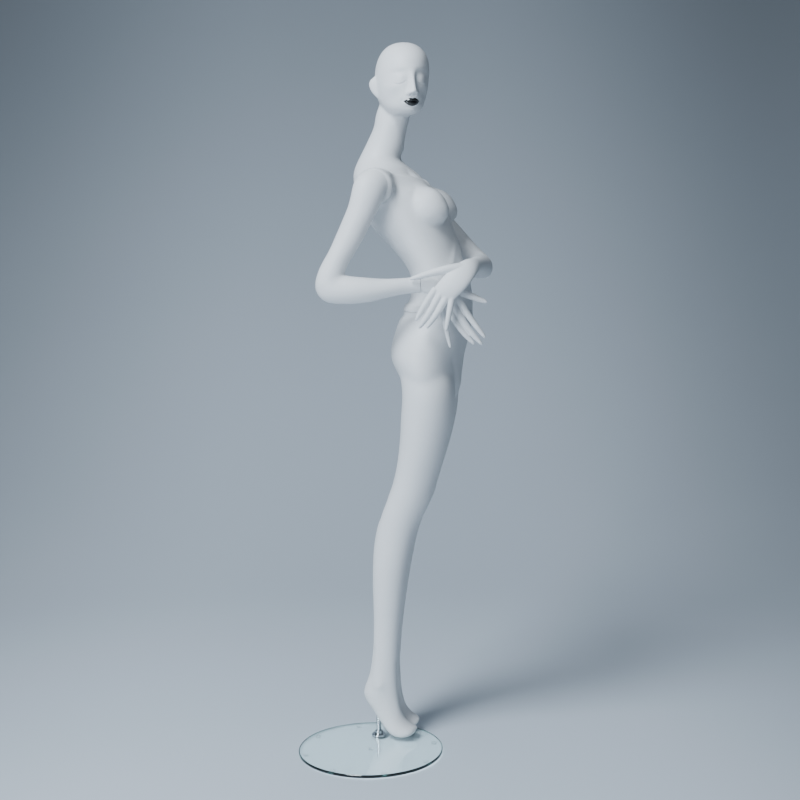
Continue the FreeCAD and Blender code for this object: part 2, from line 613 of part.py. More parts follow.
# ---------------------------------------------------------------- base and foot rod
def save_base():
    """Glass disc on bumpers, and the chromed rod clamped through it."""
    radius = BASE_DIAMETER / 2.0
    edge = GLASS_EDGE
    low = BUMPER_HEIGHT
    outline = Part.makePolygon([
        Vec(0, 0, low), Vec(radius - edge, 0, low), Vec(radius, 0, low + edge),
        Vec(radius, 0, GLASS_TOP - edge), Vec(radius - edge, 0, GLASS_TOP), Vec(0, 0, GLASS_TOP),
        Vec(0, 0, low),
    ])
    glass = Part.Face(outline).revolve(Vec(0, 0, 0), Vec(0, 0, 1), 360)
    bolt_radius = BOLT_DIAMETER / 2.0
    bush_radius = bolt_radius + BUSH_WALL

    def on_rod(r, bottom, top):
        return disc(r, top - bottom, Vec(ROD_X, ROD_Y, bottom))

    save("glass_disc", glass.cut(on_rod(bush_radius, 0, 2 * GLASS_TOP)))
    save("hole_bush", on_rod(bush_radius, low, GLASS_TOP).cut(on_rod(bolt_radius, 0, 2 * GLASS_TOP)))

    bumpers = []
    ring_radius = radius - BUMPER_INSET
    spots = [Vec(0, 0, 0)]
    for step in range(BUMPER_COUNT):
        angle = 2.0 * math.pi * (step + 0.5) / BUMPER_COUNT
        spots.append(Vec(ring_radius * math.cos(angle), ring_radius * math.sin(angle), 0))
    for spot in spots:
        bumpers.append(Part.makeCone(BUMPER_DIAMETER / 2.0 - BUMPER_HEIGHT / 4.0, BUMPER_DIAMETER / 2.0,
                                     BUMPER_HEIGHT, spot))
    save("base_bumpers", Part.makeCompound(bumpers))

    washer_bottom = low - WASHER_THICKNESS
    head_bottom = washer_bottom - BOLT_HEAD_HEIGHT
    flange_bottom = GLASS_TOP + GASKET_THICKNESS
    flange_top = flange_bottom + FLANGE_THICKNESS
    hub_top = flange_top + HUB_HEIGHT
    bolt_top = flange_bottom + BOLT_GRIP
    bolt_hole = on_rod(bolt_radius, 0, bolt_top + 2.0)
    save("bolt_washer", on_rod(WASHER_DIAMETER / 2.0, washer_bottom, low).cut(bolt_hole))
    head = on_rod(BOLT_HEAD_DIAMETER / 2.0, head_bottom, washer_bottom)
    shank = on_rod(bolt_radius, washer_bottom, bolt_top)
    key = on_rod(BOLT_DIAMETER / 3.0, head_bottom, head_bottom + BOLT_HEAD_HEIGHT)
    save("clamp_bolt", head.fuse(shank).cut(key))
    save("flange_gasket", on_rod(FLANGE_DIAMETER / 2.0, GLASS_TOP, flange_bottom).cut(bolt_hole))

    flange_radius = FLANGE_DIAMETER / 2.0
    flange = on_rod(flange_radius, flange_bottom, flange_top)
    rim = [e for e in flange.Edges if abs(e.BoundBox.ZMin - flange_top) < 0.01 and e.isClosed()]
    flange = flange.makeFillet(FLANGE_THICKNESS * 0.4, rim)
    hub = on_rod(HUB_DIAMETER / 2.0, flange_top, hub_top)
    rim = [e for e in hub.Edges if abs(e.BoundBox.ZMin - hub_top) < 0.01 and e.isClosed()]
    hub = hub.makeFillet(HUB_HEIGHT * 0.15, rim)
    rod_top = socket_mouth_z() + ROD_INSERTION
    bore = on_rod(ROD_DIAMETER / 2.0, 0, rod_top)
    save("rod_flange", flange.fuse(hub).cut(bore))
    rod = on_rod(ROD_DIAMETER / 2.0, flange_bottom, rod_top)
    tip = [e for e in rod.Edges if abs(e.BoundBox.ZMin - rod_top) < 0.01 and e.isClosed()]
    save("foot_rod", rod.makeChamfer(1.0, tip).cut(bolt_hole))


# ---------------------------------------------------------------- foot socket
SOCKET_MOUTH_STATION = 62.0
THRUST_GAP = 0.3             # between the rod's end and the plug that rests on it


def socket_mouth_z():
    """Height at which the rod enters the sole."""
    return at(0, 0, SOCKET_MOUTH_STATION).z


def socket_radii():
    """Liner bore, liner outside, socket bore, socket outside."""
    liner_bore = ROD_DIAMETER / 2.0 + RUNNING_FIT
    liner_outside = liner_bore + LINER_WALL
    bore = liner_outside + RUNNING_FIT
    return liner_bore, liner_outside, bore, bore + SOCKET_WALL


def rod_tube(inner, outer, bottom, top):
    """Tube about the rod's axis."""
    base = Vec(ROD_X, ROD_Y, bottom)
    return disc(outer, top - bottom, base).cut(disc(inner, top - bottom, base))


def save_foot_socket(foot):
    """Socket in the right foot; returns what the cast foot loses to it."""
    liner_bore, liner_outside, bore, outside = socket_radii()
    mouth = socket_mouth_z()
    plug_bottom = mouth + ROD_INSERTION + THRUST_GAP
    top = plug_bottom + THRUST_PLUG_HEIGHT
    below = mouth - 4.0 * outside
    liner_bottom = mouth + LINER_RISE
    liner_top = liner_bottom + LINER_LENGTH
    screw_radius = SET_SCREW_DIAMETER / 2.0
    screw_z = liner_top + SET_SCREW_CLEARANCE + screw_radius
    inner_end = ROD_Y + ROD_DIAMETER / 2.0 + 4.0 * RUNNING_FIT
    hole_length = 4.0 * SET_SCREW_LENGTH
    backwards = Vec(0, 1, 0)
    screw_hole = disc(screw_radius + RUNNING_FIT, hole_length, Vec(ROD_X, ROD_Y, screw_z), backwards)
    tube = rod_tube(bore, outside, below, top).cut(screw_hole)
    save("foot_socket", tube.common(foot))
    save("thrust_plug", disc(bore, THRUST_PLUG_HEIGHT, Vec(ROD_X, ROD_Y, plug_bottom)))
    save("socket_liner", rod_tube(liner_bore, liner_outside, liner_bottom, liner_top))
    screw = disc(screw_radius, SET_SCREW_LENGTH, Vec(ROD_X, inner_end, screw_z), backwards)
    key_depth = SET_SCREW_LENGTH * 0.4
    key_start = Vec(ROD_X, inner_end + SET_SCREW_LENGTH - key_depth, screw_z)
    corners = []
    for step in range(7):
        angle = math.pi * step / 3.0
        reach = SET_SCREW_DIAMETER * 0.27
        corners.append(key_start + Vec(reach * math.cos(angle), 0, reach * math.sin(angle)))
    key = Part.Face(Part.makePolygon(corners)).extrude(Vec(0, key_depth, 0))
    save("set_screw", screw.cut(key))
    way = disc(outside, top - below, Vec(ROD_X, ROD_Y, below))
    return way.fuse(screw_hole)


# ---------------------------------------------------------------- waist fitting
def save_waist_fitting(lower_stock, upper_stock):
    """Square peg on the hip board, square socket in the torso board."""
    face = at(0, 0, WAIST_Z).z
    middle_y = at(0, (PELVIS[0][1] + PELVIS[0][2]) / 2.0, 0).y
    middle_x = at(0, 0, 0).x
    upper_face = face + SEAM_GAP
    half_plate = WAIST_PLATE_WIDTH / 2.0
    half_peg = WAIST_PEG_WIDTH / 2.0
    half_hole = half_peg + WAIST_PEG_FIT
    half_sleeve = half_hole + WAIST_SLEEVE_WALL

    def block(half, bottom, top):
        return box(Vec(middle_x - half, middle_y - half, bottom), Vec(middle_x + half, middle_y + half, top))

    def screws(z, direction):
        spread = half_plate - SCREW_HEAD_DIAMETER * 0.75
        return [countersunk_screw(Vec(middle_x + a * spread, middle_y + b * spread, z), direction)
                for a in (-1, 1) for b in (-1, 1)]

    down = Vec(0, 0, -1)
    up = Vec(0, 0, 1)
    reach = WIDE * GROWTH
    lower_slab = block(reach, face - BOARD_THICKNESS, face)
    lower_plate = block(half_plate, face - PLATE_THICKNESS, face)
    save("waist_board", lower_stock.common(lower_slab).cut([lower_plate] + screws(face, down)))
    peg = block(half_peg, face - PLATE_THICKNESS, face + WAIST_PEG_LENGTH)
    lead = [e for e in peg.Edges if e.BoundBox.ZMin > face + WAIST_PEG_LENGTH - 0.01]
    peg = peg.makeChamfer(WAIST_PEG_LEAD, lead)
    save("waist_peg_plate", lower_plate.fuse(peg).cut(screws(face, down)))
    save("waist_peg_screws", Part.makeCompound(screws(face, down)))

    upper_slab = block(reach, upper_face, upper_face + BOARD_THICKNESS)
    upper_plate = block(half_plate, upper_face, upper_face + PLATE_THICKNESS)
    sleeve_top = face + WAIST_PEG_LENGTH + WAIST_PEG_END_GAP
    sleeve = block(half_sleeve, upper_face, sleeve_top)
    hole = block(half_hole, upper_face, sleeve_top)
    save("torso_board", upper_stock.common(upper_slab).cut([upper_plate, sleeve] + screws(upper_face, up)))
    save("waist_socket_plate", upper_plate.fuse(sleeve).cut([hole] + screws(upper_face, up)))
    save("waist_socket_screws", Part.makeCompound(screws(upper_face, up)))


# ---------------------------------------------------------------- wrist fittings
def save_wrist(side, arm_stock):
    """Flatted peg in the hand and its socket in the wrist board; returns the hole in the hand."""
    name = "right" if side < 0 else "left"
    out = WRIST_NORMAL[side]
    seam_centre = arm_rings(side)[-1][0]
    across = Vec(0, 0, 1)
    radius = HAND_PEG_DIAMETER / 2.0

    def local(shape):
        return placed(shape, seam_centre, out, across)

    def flatted(r, flat, low_x, high_x):
        bar = disc(r, high_x - low_x, Vec(low_x, 0, 0), ALONG_X)
        return bar.cut(box(Vec(low_x, -2 * r, flat), Vec(high_x, 2 * r, 2 * r)))

    reach = WIDE * GROWTH / 4.0
    slab = box(Vec(-BOARD_THICKNESS, -reach, -reach), Vec(0, reach, reach))
    socket_length = HAND_PEG_LENGTH + HAND_PEG_END_GAP
    bore = flatted(radius + RUNNING_FIT, HAND_PEG_FLAT + RUNNING_FIT, -socket_length, 0)
    tube = disc(radius + RUNNING_FIT + WRIST_SOCKET_WALL, socket_length, Vec(-socket_length, 0, 0), ALONG_X)
    save(name + "_wrist_board", arm_stock.common(local(slab)).cut(local(tube)))
    save(name + "_wrist_socket", local(tube.cut(bore)))
    peg = flatted(radius, HAND_PEG_FLAT, SEAM_GAP - HAND_PEG_LENGTH, SEAM_GAP + HAND_PEG_ROOT)
    save(name + "_hand_peg", local(peg))
    return local(flatted(radius, HAND_PEG_FLAT, SEAM_GAP, SEAM_GAP + HAND_PEG_ROOT))


# ---------------------------------------------------------------- the whole assembly
HIP_SEAM_ANGLE = 46.0        # of the left leg's seam, above level
HIP_SEAM_START = 3.0         # from the mid-plane, at the crotch
HIP_PLATE_OUT = 86.0         # centre of the hip plate from the mid-plane
HIP_PLATE_DEPTH = -148.0     # and from the line of the rod


def hip_seam():
    """Seat of the left leg's fitting: centre, normal towards the leg, unlocking direction."""
    angle = math.radians(HIP_SEAM_ANGLE)
    up = Vec(math.cos(angle), 0, math.sin(angle))
    normal = Vec(math.sin(angle), 0, -math.cos(angle))
    run = HIP_PLATE_OUT - HIP_SEAM_START
    origin = at(HIP_PLATE_OUT, HIP_PLATE_DEPTH, CROTCH_Z + run * math.tan(angle))
    return origin, normal, up


def leg_side(gap):
    """Space below the left leg's seam, moved off it by a gap."""
    origin, normal, up = hip_seam()
    start = at(HIP_SEAM_START, HIP_PLATE_DEPTH, CROTCH_Z)
    reach = WIDE * GROWTH
    floor = start - Vec(0, 0, start.z)
    corners = [start, start + up * reach, Vec(start.x + reach, start.y, floor.z), floor, start]
    face = Part.Face(Part.makePolygon([corner + Vec(0, -reach, 0) for corner in corners]))
    return placed_by(face.extrude(Vec(0, 2 * reach, 0)), normal * gap)


def placed_by(shape, shift):
    """Copy of a shape, moved."""
    moved = shape.copy()
    moved.translate(shift)
    return moved


def save_lower_figure():
    """Hips with the right leg, the loose left leg, and the fittings in them."""
    outside = lower_figure(0.0)
    hollow = lower_figure(WALL)
    stock = lower_figure(WALL + BOARD_FIT)
    body = outside.cut(leg_side(0.0))
    way = save_foot_socket(body)
    save("lower_body_shell", body.cut(hollow).cut(way))
    save("left_leg_shell", outside.common(leg_side(SEAM_GAP)).cut(hollow))
    origin = hip_seam()[0]
    down = (origin - at(HIP_SEAM_START, HIP_PLATE_DEPTH, CROTCH_Z)).Length
    extent = (down, 2.0 * down, 2.0 * down)
    save_keyhole_joint("hip", "left_leg", HIP_PLATE_DIAMETER, hip_seam(), extent, stock, stock)
    return stock


def save_upper_figure(lower_stock):
    """Torso with the head, the arms and the hands, and the fittings between them."""
    stock = upper_figure(WALL + BOARD_FIT)
    save("torso_shell", upper_figure(0.0).cut(upper_figure(WALL)))
    save_waist_fitting(lower_stock, stock)
    for side, name in ((-1, "right"), (1, "left")):
        rings = arm_rings(side)
        arm_stock = skin(rings, WALL + BOARD_FIT)
        save(name + "_arm_shell", skin(rings).cut(skin(rings, WALL)))
        depth, height = shoulder_of(side)
        seat = (at(side * SHOULDER_SEAM, depth, height) + WAIST_SHIFT, Vec(side, 0, 0), Vec(0, 0, 1))
        extent = [max(SHOULDER_RADII) * GROWTH] * 3
        stub = skin(moved_rings(shoulder_rings(side, BOARD_OVERRUN), WAIST_SHIFT), WALL + BOARD_FIT)
        save_keyhole_joint(name + "_shoulder", name + "_arm", SHOULDER_PLATE_DIAMETER, seat, extent,
                           stub, arm_stock)
        save(name + "_hand", hand_solid(side).cut(save_wrist(side, arm_stock)))


def main():
    os.makedirs("parts", exist_ok=True)
    save_base()
    save_upper_figure(save_lower_figure())


main()
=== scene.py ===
import json
import math

import bmesh
import bpy
import numpy as np
from mathutils import Matrix, Vector


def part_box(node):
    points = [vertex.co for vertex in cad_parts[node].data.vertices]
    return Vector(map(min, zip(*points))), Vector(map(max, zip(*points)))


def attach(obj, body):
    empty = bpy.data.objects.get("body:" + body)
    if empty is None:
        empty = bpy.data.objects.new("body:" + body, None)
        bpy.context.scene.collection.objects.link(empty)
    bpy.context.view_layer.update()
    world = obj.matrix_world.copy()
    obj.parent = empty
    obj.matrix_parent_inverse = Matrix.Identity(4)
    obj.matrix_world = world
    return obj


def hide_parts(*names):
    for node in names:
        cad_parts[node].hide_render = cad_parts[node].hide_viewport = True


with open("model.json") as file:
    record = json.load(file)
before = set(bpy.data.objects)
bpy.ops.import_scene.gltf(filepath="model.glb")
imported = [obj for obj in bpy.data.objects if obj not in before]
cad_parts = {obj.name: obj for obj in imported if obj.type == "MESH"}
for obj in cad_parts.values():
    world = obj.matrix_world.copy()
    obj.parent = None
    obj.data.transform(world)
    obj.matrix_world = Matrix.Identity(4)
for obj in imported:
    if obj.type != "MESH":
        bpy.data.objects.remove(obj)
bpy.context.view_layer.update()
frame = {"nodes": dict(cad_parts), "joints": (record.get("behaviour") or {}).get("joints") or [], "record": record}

# A full body display mannequin.  The steel, wood and glass parts keep their own meshes and
# get their finishes here; the white mouldings are modelled here, skin by skin.

MM = 0.001

# ---------------------------------------------------------------- places taken from the frame
def middle(node):
    """Centre of a node's box."""
    low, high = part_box(node)
    return (low + high) / 2.0


ROD = middle("foot_rod")
ROD_STATION = (-35.0, -4.0)                  # the rod, from the figure's mid-plane
SOLE_RISE = 0.8                              # sole above the glass
SEAM_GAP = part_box("torso_board")[0].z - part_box("waist_board")[1].z
LOWER_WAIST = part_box("waist_board")[1].z
UPPER_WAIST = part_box("torso_board")[0].z
SHOULDER_FACE = {"right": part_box("right_shoulder_board")[0].x, "left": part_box("left_shoulder_board")[1].x}
MID_X = ROD.x - ROD_STATION[0] * MM


def at(x, y, z, above_waist=False):
    """Place of a station: off the mid-plane, off the rod, above the floor."""
    rise = SOLE_RISE * MM + (SEAM_GAP if above_waist else 0.0)
    return Vector((MID_X + x * MM, ROD.y + (y - ROD_STATION[1]) * MM, z * MM + rise))


def hip_seam():
    """A point of the left leg's seam on the hip side, and the normal towards the leg."""
    axis = next(Vector(j["axis"]) for j in frame["joints"] if j["name"] == "left_leg_unhook")
    normal = Vector((axis.z, 0.0, -axis.x)).normalized()
    return middle("hip_socket_plate") + normal * (1.5 * MM), normal


# ---------------------------------------------------------------- camera
SENSOR_WIDTH = 36.0
LENS_TO_SENSOR = 1.7125


def make_camera():
    """Camera at standing height, from the figure's right, a little to its front."""
    azimuth, distance, height = math.radians(-78.0), 3.487, 1.357
    down, turn, tilt = math.radians(6.89), math.radians(-1.48), math.radians(-0.8)
    heading = azimuth + turn
    level = Vector((-math.sin(heading), math.cos(heading), 0.0))
    forward = level * math.cos(down) - Vector((0, 0, 1)) * math.sin(down)
    right = level.cross(Vector((0, 0, 1))).normalized()
    up = right.cross(forward)
    side = right * math.cos(tilt) + up * math.sin(tilt)
    top = up * math.cos(tilt) - right * math.sin(tilt)
    camera = bpy.data.objects.new("camera", bpy.data.cameras.new("camera"))
    bpy.context.scene.collection.objects.link(camera)
    camera.data.sensor_width = SENSOR_WIDTH
    camera.data.lens = SENSOR_WIDTH * LENS_TO_SENSOR
    turned = Matrix((side, top, -forward)).transposed().to_4x4()
    place = Vector((distance * math.sin(azimuth), -distance * math.cos(azimuth), height))
    camera.matrix_world = Matrix.Translation(place) @ turned
    bpy.context.scene.camera = camera


make_camera()


# ---------------------------------------------------------------- shader helpers
def new_material(name):
    """Material, its node tree and its Principled BSDF."""
    material = bpy.data.materials.new(name)
    material.use_nodes = True
    return material, material.node_tree, material.node_tree.nodes["Principled BSDF"]


def feed(tree, made, *inputs, **values):
    """Give values, or other nodes' outputs, to a node's input sockets: in order, or by name."""
    named = [(made.inputs[key.replace("_", " ")], value) for key, value in values.items()]
    for socket, value in [*zip(made.inputs, inputs), *named]:
        if isinstance(value, bpy.types.NodeSocket):
            tree.links.new(value, socket)
        else:
            socket.default_value = value
    return made


def node(tree, kind, *inputs, setting=None, **values):
    """Add a node, with one setting by its name, and feed its input sockets."""
    made = tree.nodes.new(kind)
    if setting:
        setattr(made, *setting)
    return feed(tree, made, *inputs, **values)


def object_coordinates(tree):
    """Object coordinates, the same in every piece because each object sits at the origin."""
    return tree.nodes.new("ShaderNodeTexCoord").outputs["Object"]


def ramp(tree, factor, stops):
    """Colour ramp with the given (position, colour) stops."""
    made = tree.nodes.new("ShaderNodeValToRGB")
    while len(made.color_ramp.elements) < len(stops):
        made.color_ramp.elements.new(0.5)
    for element, (position, colour) in zip(made.color_ramp.elements, stops):
        element.position = position
        element.color = (*colour, 1.0)
    tree.links.new(factor, made.inputs["Fac"])
    return made.outputs["Color"]


def bumped(tree, height, strength, distance):
    """Normal from a height."""
    made = node(tree, "ShaderNodeBump", Strength=strength, Distance=distance, Height=height)
    return made.outputs["Normal"]


def spread(tree, value, low, high, start=0.3, end=0.7, smooth=False):
    """Run from low to high while a value goes from start to end."""
    made = node(tree, "ShaderNodeMapRange", Value=value, From_Min=start, From_Max=end,
                To_Min=low, To_Max=high)
    if smooth:
        made.interpolation_type = "SMOOTHSTEP"
    return made.outputs["Result"]


def streaks(tree, scale, **values):
    """Noise stretched along one axis."""
    stretch = node(tree, "ShaderNodeMapping", Vector=object_coordinates(tree), Scale=scale)
    made = node(tree, "ShaderNodeTexNoise", Vector=stretch.outputs["Vector"], Scale=1.0, **values)
    return made.outputs["Fac"]


def grain_group():
    """Grain: two sizes of noise as one height, and a slow mottling."""
    group = bpy.data.node_groups.new("surface_grain", "ShaderNodeTree")
    for name in ("Position", "Fine", "Broad", "Mottle"):
        kind = "NodeSocketVector" if name == "Position" else "NodeSocketFloat"
        group.interface.new_socket(name=name, in_out="INPUT", socket_type=kind)
    for name in ("Height", "Mottling"):
        group.interface.new_socket(name=name, in_out="OUTPUT", socket_type="NodeSocketFloat")
    inlet = group.nodes.new("NodeGroupInput").outputs
    levels = {}
    for name in ("Fine", "Broad", "Mottle"):
        noise = node(group, "ShaderNodeTexNoise", Detail=3.0, Roughness=0.5,
                     Vector=inlet["Position"], Scale=inlet[name])
        levels[name] = noise.outputs["Fac"]
    blend = node(group, "ShaderNodeMath", levels["Fine"], 0.35, levels["Broad"],
                 setting=("operation", "MULTIPLY_ADD"))
    node(group, "NodeGroupOutput", Height=blend.outputs[0], Mottling=levels["Mottle"])
    return group


GRAIN = grain_group()


def grain(tree, fine, broad, mottle):
    """Place the grain group and return its height and its mottling."""
    made = node(tree, "ShaderNodeGroup", setting=("node_tree", GRAIN), Fine=fine, Broad=broad,
                Mottle=mottle, Position=object_coordinates(tree))
    return made.outputs["Height"], made.outputs["Mottling"]


# ---------------------------------------------------------------- materials
RUBBER_GRAIN = (3000.0, 900.0, 120.0)
GREEN_STARTS, GREEN_FULL = 0.0032, 0.0014    # in from the rim of the glass
BODY_TO_SHADOWS = 0.12                       # how much a clear piece holds back of the light


def white_lacquer(name, with_lips=False):
    """Matt white sprayed lacquer on a glass-fibre moulding; the lips are brushed in gloss black."""
    material, tree, shader = new_material(name)
    height, mottling = grain(tree, 1400.0, 320.0, 9.0)
    colour = ramp(tree, mottling, [(0.25, (0.80, 0.815, 0.83)), (0.75, (0.845, 0.855, 0.87))])
    roughness = spread(tree, mottling, 0.42, 0.56, 0.2, 0.8)
    if with_lips:
        edge = node(tree, "ShaderNodeAttribute", setting=("attribute_name", "lip_edge"))
        mask = spread(tree, edge.outputs["Fac"], 0.0, 1.0, -0.35, 0.35, smooth=True)
        painted = node(tree, "ShaderNodeMix", setting=("data_type", "RGBA"),
                       Factor=mask, A=colour, B=(0.006, 0.006, 0.007, 1.0))
        gloss = node(tree, "ShaderNodeMix", Factor=mask, A=roughness, B=0.14)
        colour, roughness = painted.outputs["Result"], gloss.outputs["Result"]
        feed(tree, shader, Coat_Weight=mask)
    feed(tree, shader, Base_Color=colour, Roughness=roughness, IOR=1.46,
         Normal=bumped(tree, height, 0.06, 0.0003))
    return material


def mottled(name, grains, shades, roughness, bump, brushed=None):
    """Material whose colour and roughness vary; brushed gives the scale of its brush marks."""
    material, tree, shader = new_material(name)
    height, mottling = grain(tree, *grains)
    if brushed:
        height = streaks(tree, brushed, Detail=4.0)
    feed(tree, shader, Base_Color=ramp(tree, mottling, [(0.3, shades[0]), (0.7, shades[1])]),
         Roughness=spread(tree, mottling, *roughness), Normal=bumped(tree, height, *bump))
    return material, tree, shader


def metal(name, dark, light, rough_low, rough_high, brushed=None):
    """Plated or blackened metal."""
    material, tree, shader = mottled(name, (2600.0, 600.0, 60.0), (dark, light),
                                     (rough_low, rough_high), (0.12, 0.0001), brushed)
    feed(tree, shader, Metallic=1.0)
    return material


def plastic(name, dark, light, rough_low, rough_high):
    """Rubber or nylon."""
    return mottled(name, RUBBER_GRAIN, (dark, light), (rough_low, rough_high), (0.15, 0.0002))[0]


def plywood(name):
    """Birch plywood: long grain on the faces and thin plies at the edges."""
    material, tree, shader = new_material(name)
    figure = streaks(tree, (40.0, 400.0, 400.0), Detail=5.0, Distortion=0.6)
    wood = ramp(tree, figure, [
        (0.3, (0.36, 0.22, 0.11)), (0.5, (0.52, 0.36, 0.20)), (0.7, (0.62, 0.46, 0.28))])
    feed(tree, shader, Base_Color=wood, Roughness=0.62, Normal=bumped(tree, figure, 0.25, 0.0003))
    return material


def float_glass(name):
    """Clear glass, green where it is looked at through its ground edge."""
    material, tree, shader = new_material(name)
    low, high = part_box("glass_disc")
    radius = (high.x - low.x) / 2.0
    flat = node(tree, "ShaderNodeVectorMath", object_coordinates(tree), (1.0, 1.0, 0.0),
                setting=("operation", "MULTIPLY"))
    length = node(tree, "ShaderNodeVectorMath", flat.outputs["Vector"], setting=("operation", "LENGTH"))
    rim = spread(tree, length.outputs["Value"], 0.0, 1.0, radius - GREEN_STARTS, radius - GREEN_FULL)
    smears = grain(tree, 900.0, 60.0, 25.0)[1]
    feed(tree, shader, Base_Color=ramp(tree, rim, [(0.0, (0.80, 0.875, 0.86)), (1.0, (0.04, 0.15, 0.12))]),
         Roughness=spread(tree, smears, 0.02, 0.09, 0.45, 0.8))
    see_through(tree, shader, 1.52, 1.0)
    return material


def see_through(tree, shader, index, body):
    """Clear solid of some body that also lets the light through to what lies under it."""
    path = tree.nodes.new("ShaderNodeLightPath")
    feed(tree, shader, Transmission_Weight=1.0, IOR=index,
         Alpha=spread(tree, path.outputs["Is Shadow Ray"], body, BODY_TO_SHADOWS, 0.0, 1.0))


def clear_rubber(name):
    """Soft clear polyurethane of the bumpers."""
    material, tree, shader = mottled(name, RUBBER_GRAIN, ((0.93, 0.95, 0.95), (0.97, 0.98, 0.98)),
                                     (0.12, 0.22), (0.1, 0.0002))
    see_through(tree, shader, 1.12, 0.3)
    return material


FINISHES = {
    "white_shell": white_lacquer("white_lacquer"),
    "clear_glass": float_glass("float_glass"),
    "chrome": metal("chrome_plate", (0.50, 0.52, 0.54), (0.62, 0.64, 0.66), 0.05, 0.12),
    "steel_plate": metal("brushed_plate", (0.42, 0.43, 0.44), (0.60, 0.61, 0.62), 0.28, 0.42,
                         brushed=(900.0, 60.0, 900.0)),
    "zinc_screw": metal("zinc_plate", (0.50, 0.48, 0.40), (0.68, 0.66, 0.56), 0.22, 0.36),
    "dark_steel": metal("black_oxide", (0.03, 0.03, 0.034), (0.06, 0.06, 0.065), 0.30, 0.45),
    "nylon": plastic("natural_nylon", (0.62, 0.61, 0.57), (0.72, 0.71, 0.67), 0.38, 0.5),
    "bumper_rubber": clear_rubber("clear_bumper"),
    "gasket_rubber": plastic("black_rubber", (0.018, 0.018, 0.018), (0.035, 0.035, 0.035), 0.6, 0.75),
    "board_wood": plywood("birch_plywood"),
}


def finish_cad_nodes():
    """Give every CAD node the finish of its material slot."""
    for entry in frame["record"]["subparts"]:
        piece = frame["nodes"][entry["node"]]
        piece.data.materials.clear()
        piece.data.materials.append(FINISHES[entry["material_slot"]])


finish_cad_nodes()


# ---------------------------------------------------------------- skins
class Ring:
    """Station of a skin: its centre and two half axes, in metres."""

    def __init__(self, centre, across, along):
        self.centre, self.across, self.along = Vector(centre), Vector(across), Vector(along)

    def point(self, angle):
        return self.centre + self.across * math.cos(angle) + self.along * math.sin(angle)

    def numbers(self):
        return np.array([*self.centre, *self.across, *self.along])


def smooth_rings(rings, step):
    """Rings on the cubic spline that the given rings steer, about a step apart."""
    values = [ring.numbers() for ring in rings]
    last = len(values) - 3
    knots = [0] * 4 + list(range(1, last)) + [last] * 4

    def on_spline(place):
        span = min(int(place), last - 1) + 3
        blend = [values[span - 3 + k] for k in range(4)]
        for level in range(1, 4):
            for k in range(3, level - 1, -1):
                low, high = knots[span - 3 + k], knots[span + 1 + k - level]
                share = (place - low) / (high - low)
                blend[k] = blend[k - 1] * (1 - share) + blend[k] * share
        return Ring(blend[3][0:3], blend[3][3:6], blend[3][6:9])

    made = [on_spline(0)]
    for span in range(last):
        start, end = on_spline(span), on_spline(span + 1)
        quarter_turns = [k * math.pi / 2 for k in range(4)]
        longest = max((start.point(a) - end.point(a)).length for a in quarter_turns)
        count = max(2, round(longest / step))
        made += [on_spline(span + part / count) for part in range(1, count + 1)]
    return made


def skin(bm, rings, step, columns=48, closed=True):
    """Draw a skin: a circle on the first ring, extruded from ring to ring."""
    column = bm.verts.layers.int.get("column") or bm.verts.layers.int.new("column")
    rings = smooth_rings(rings, step)
    verts = bmesh.ops.create_circle(bm, segments=columns, radius=1.0)["verts"]
    for index, vert in enumerate(verts):
        vert[column] = index
        vert.co = rings[0].point(2 * math.pi * index / columns)
    first = list({edge for vert in verts for edge in vert.link_edges})
    edges = first
    for ring in rings[1:]:
        fresh = grow(bm, edges)
        for vert in fresh:
            vert.co = ring.point(2 * math.pi * vert[column] / columns)
        edges = edges_among(fresh)
    if closed:
        bmesh.ops.contextual_create(bm, geom=first)
        bmesh.ops.contextual_create(bm, geom=edges)


def edges_among(verts):
    """Edges with both ends among some vertices."""
    among = set(verts)
    return list({edge for vert in among for edge in vert.link_edges if edge.other_vert(vert) in among})


def grow(bm, edges):
    """Extrude some edges and return their new vertices."""
    grown = bmesh.ops.extrude_edge_only(bm, edges=edges)["geom"]
    return [part for part in grown if isinstance(part, bmesh.types.BMVert)]


def picked(bm, chosen):
    """Vertices for which a mask of all vertices is true."""
    return [vert for vert, inside in zip(bm.verts, chosen) if inside]


def push_out(bm, normals, rises):
    """Move every vertex along its normal by its own rise in millimetres."""
    for vert, normal, rise in zip(bm.verts, normals, rises):
        vert.co += Vector(normal) * (rise * MM)


def to_scene(name, data):
    """Object of some data, put in the scene."""
    made = bpy.data.objects.new(name, data)
    bpy.context.scene.collection.objects.link(made)
    return made


def to_object(bm, name):
    """Mesh object from a bmesh, with its faces pointing out."""
    bmesh.ops.recalc_face_normals(bm, faces=bm.faces)
    mesh = bpy.data.meshes.new(name)
    bm.to_mesh(mesh)
    bm.free()
    return to_scene(name, mesh)


def welded(bm, voxel):
    """One skin round everything in a bmesh, with faces about a voxel wide."""
    rough = to_object(bm, "rough")
    weld = rough.modifiers.new("weld", "REMESH")
    weld.mode = "VOXEL"
    weld.voxel_size = voxel
    mesh = bpy.data.meshes.new_from_object(rough.evaluated_get(bpy.context.evaluated_depsgraph_get()))
    one = bmesh.new()
    one.from_mesh(mesh)
    bpy.data.objects.remove(rough)
    bpy.data.meshes.remove(mesh)
    for face in one.faces:
        face.smooth = True
    return one


def soften(bm, verts, rounds):
    """Smooth some vertices."""
    verts = list(verts)
    for _ in range(rounds):
        bmesh.ops.smooth_vert(bm, verts=verts, factor=0.5, use_axis_x=True, use_axis_y=True, use_axis_z=True)


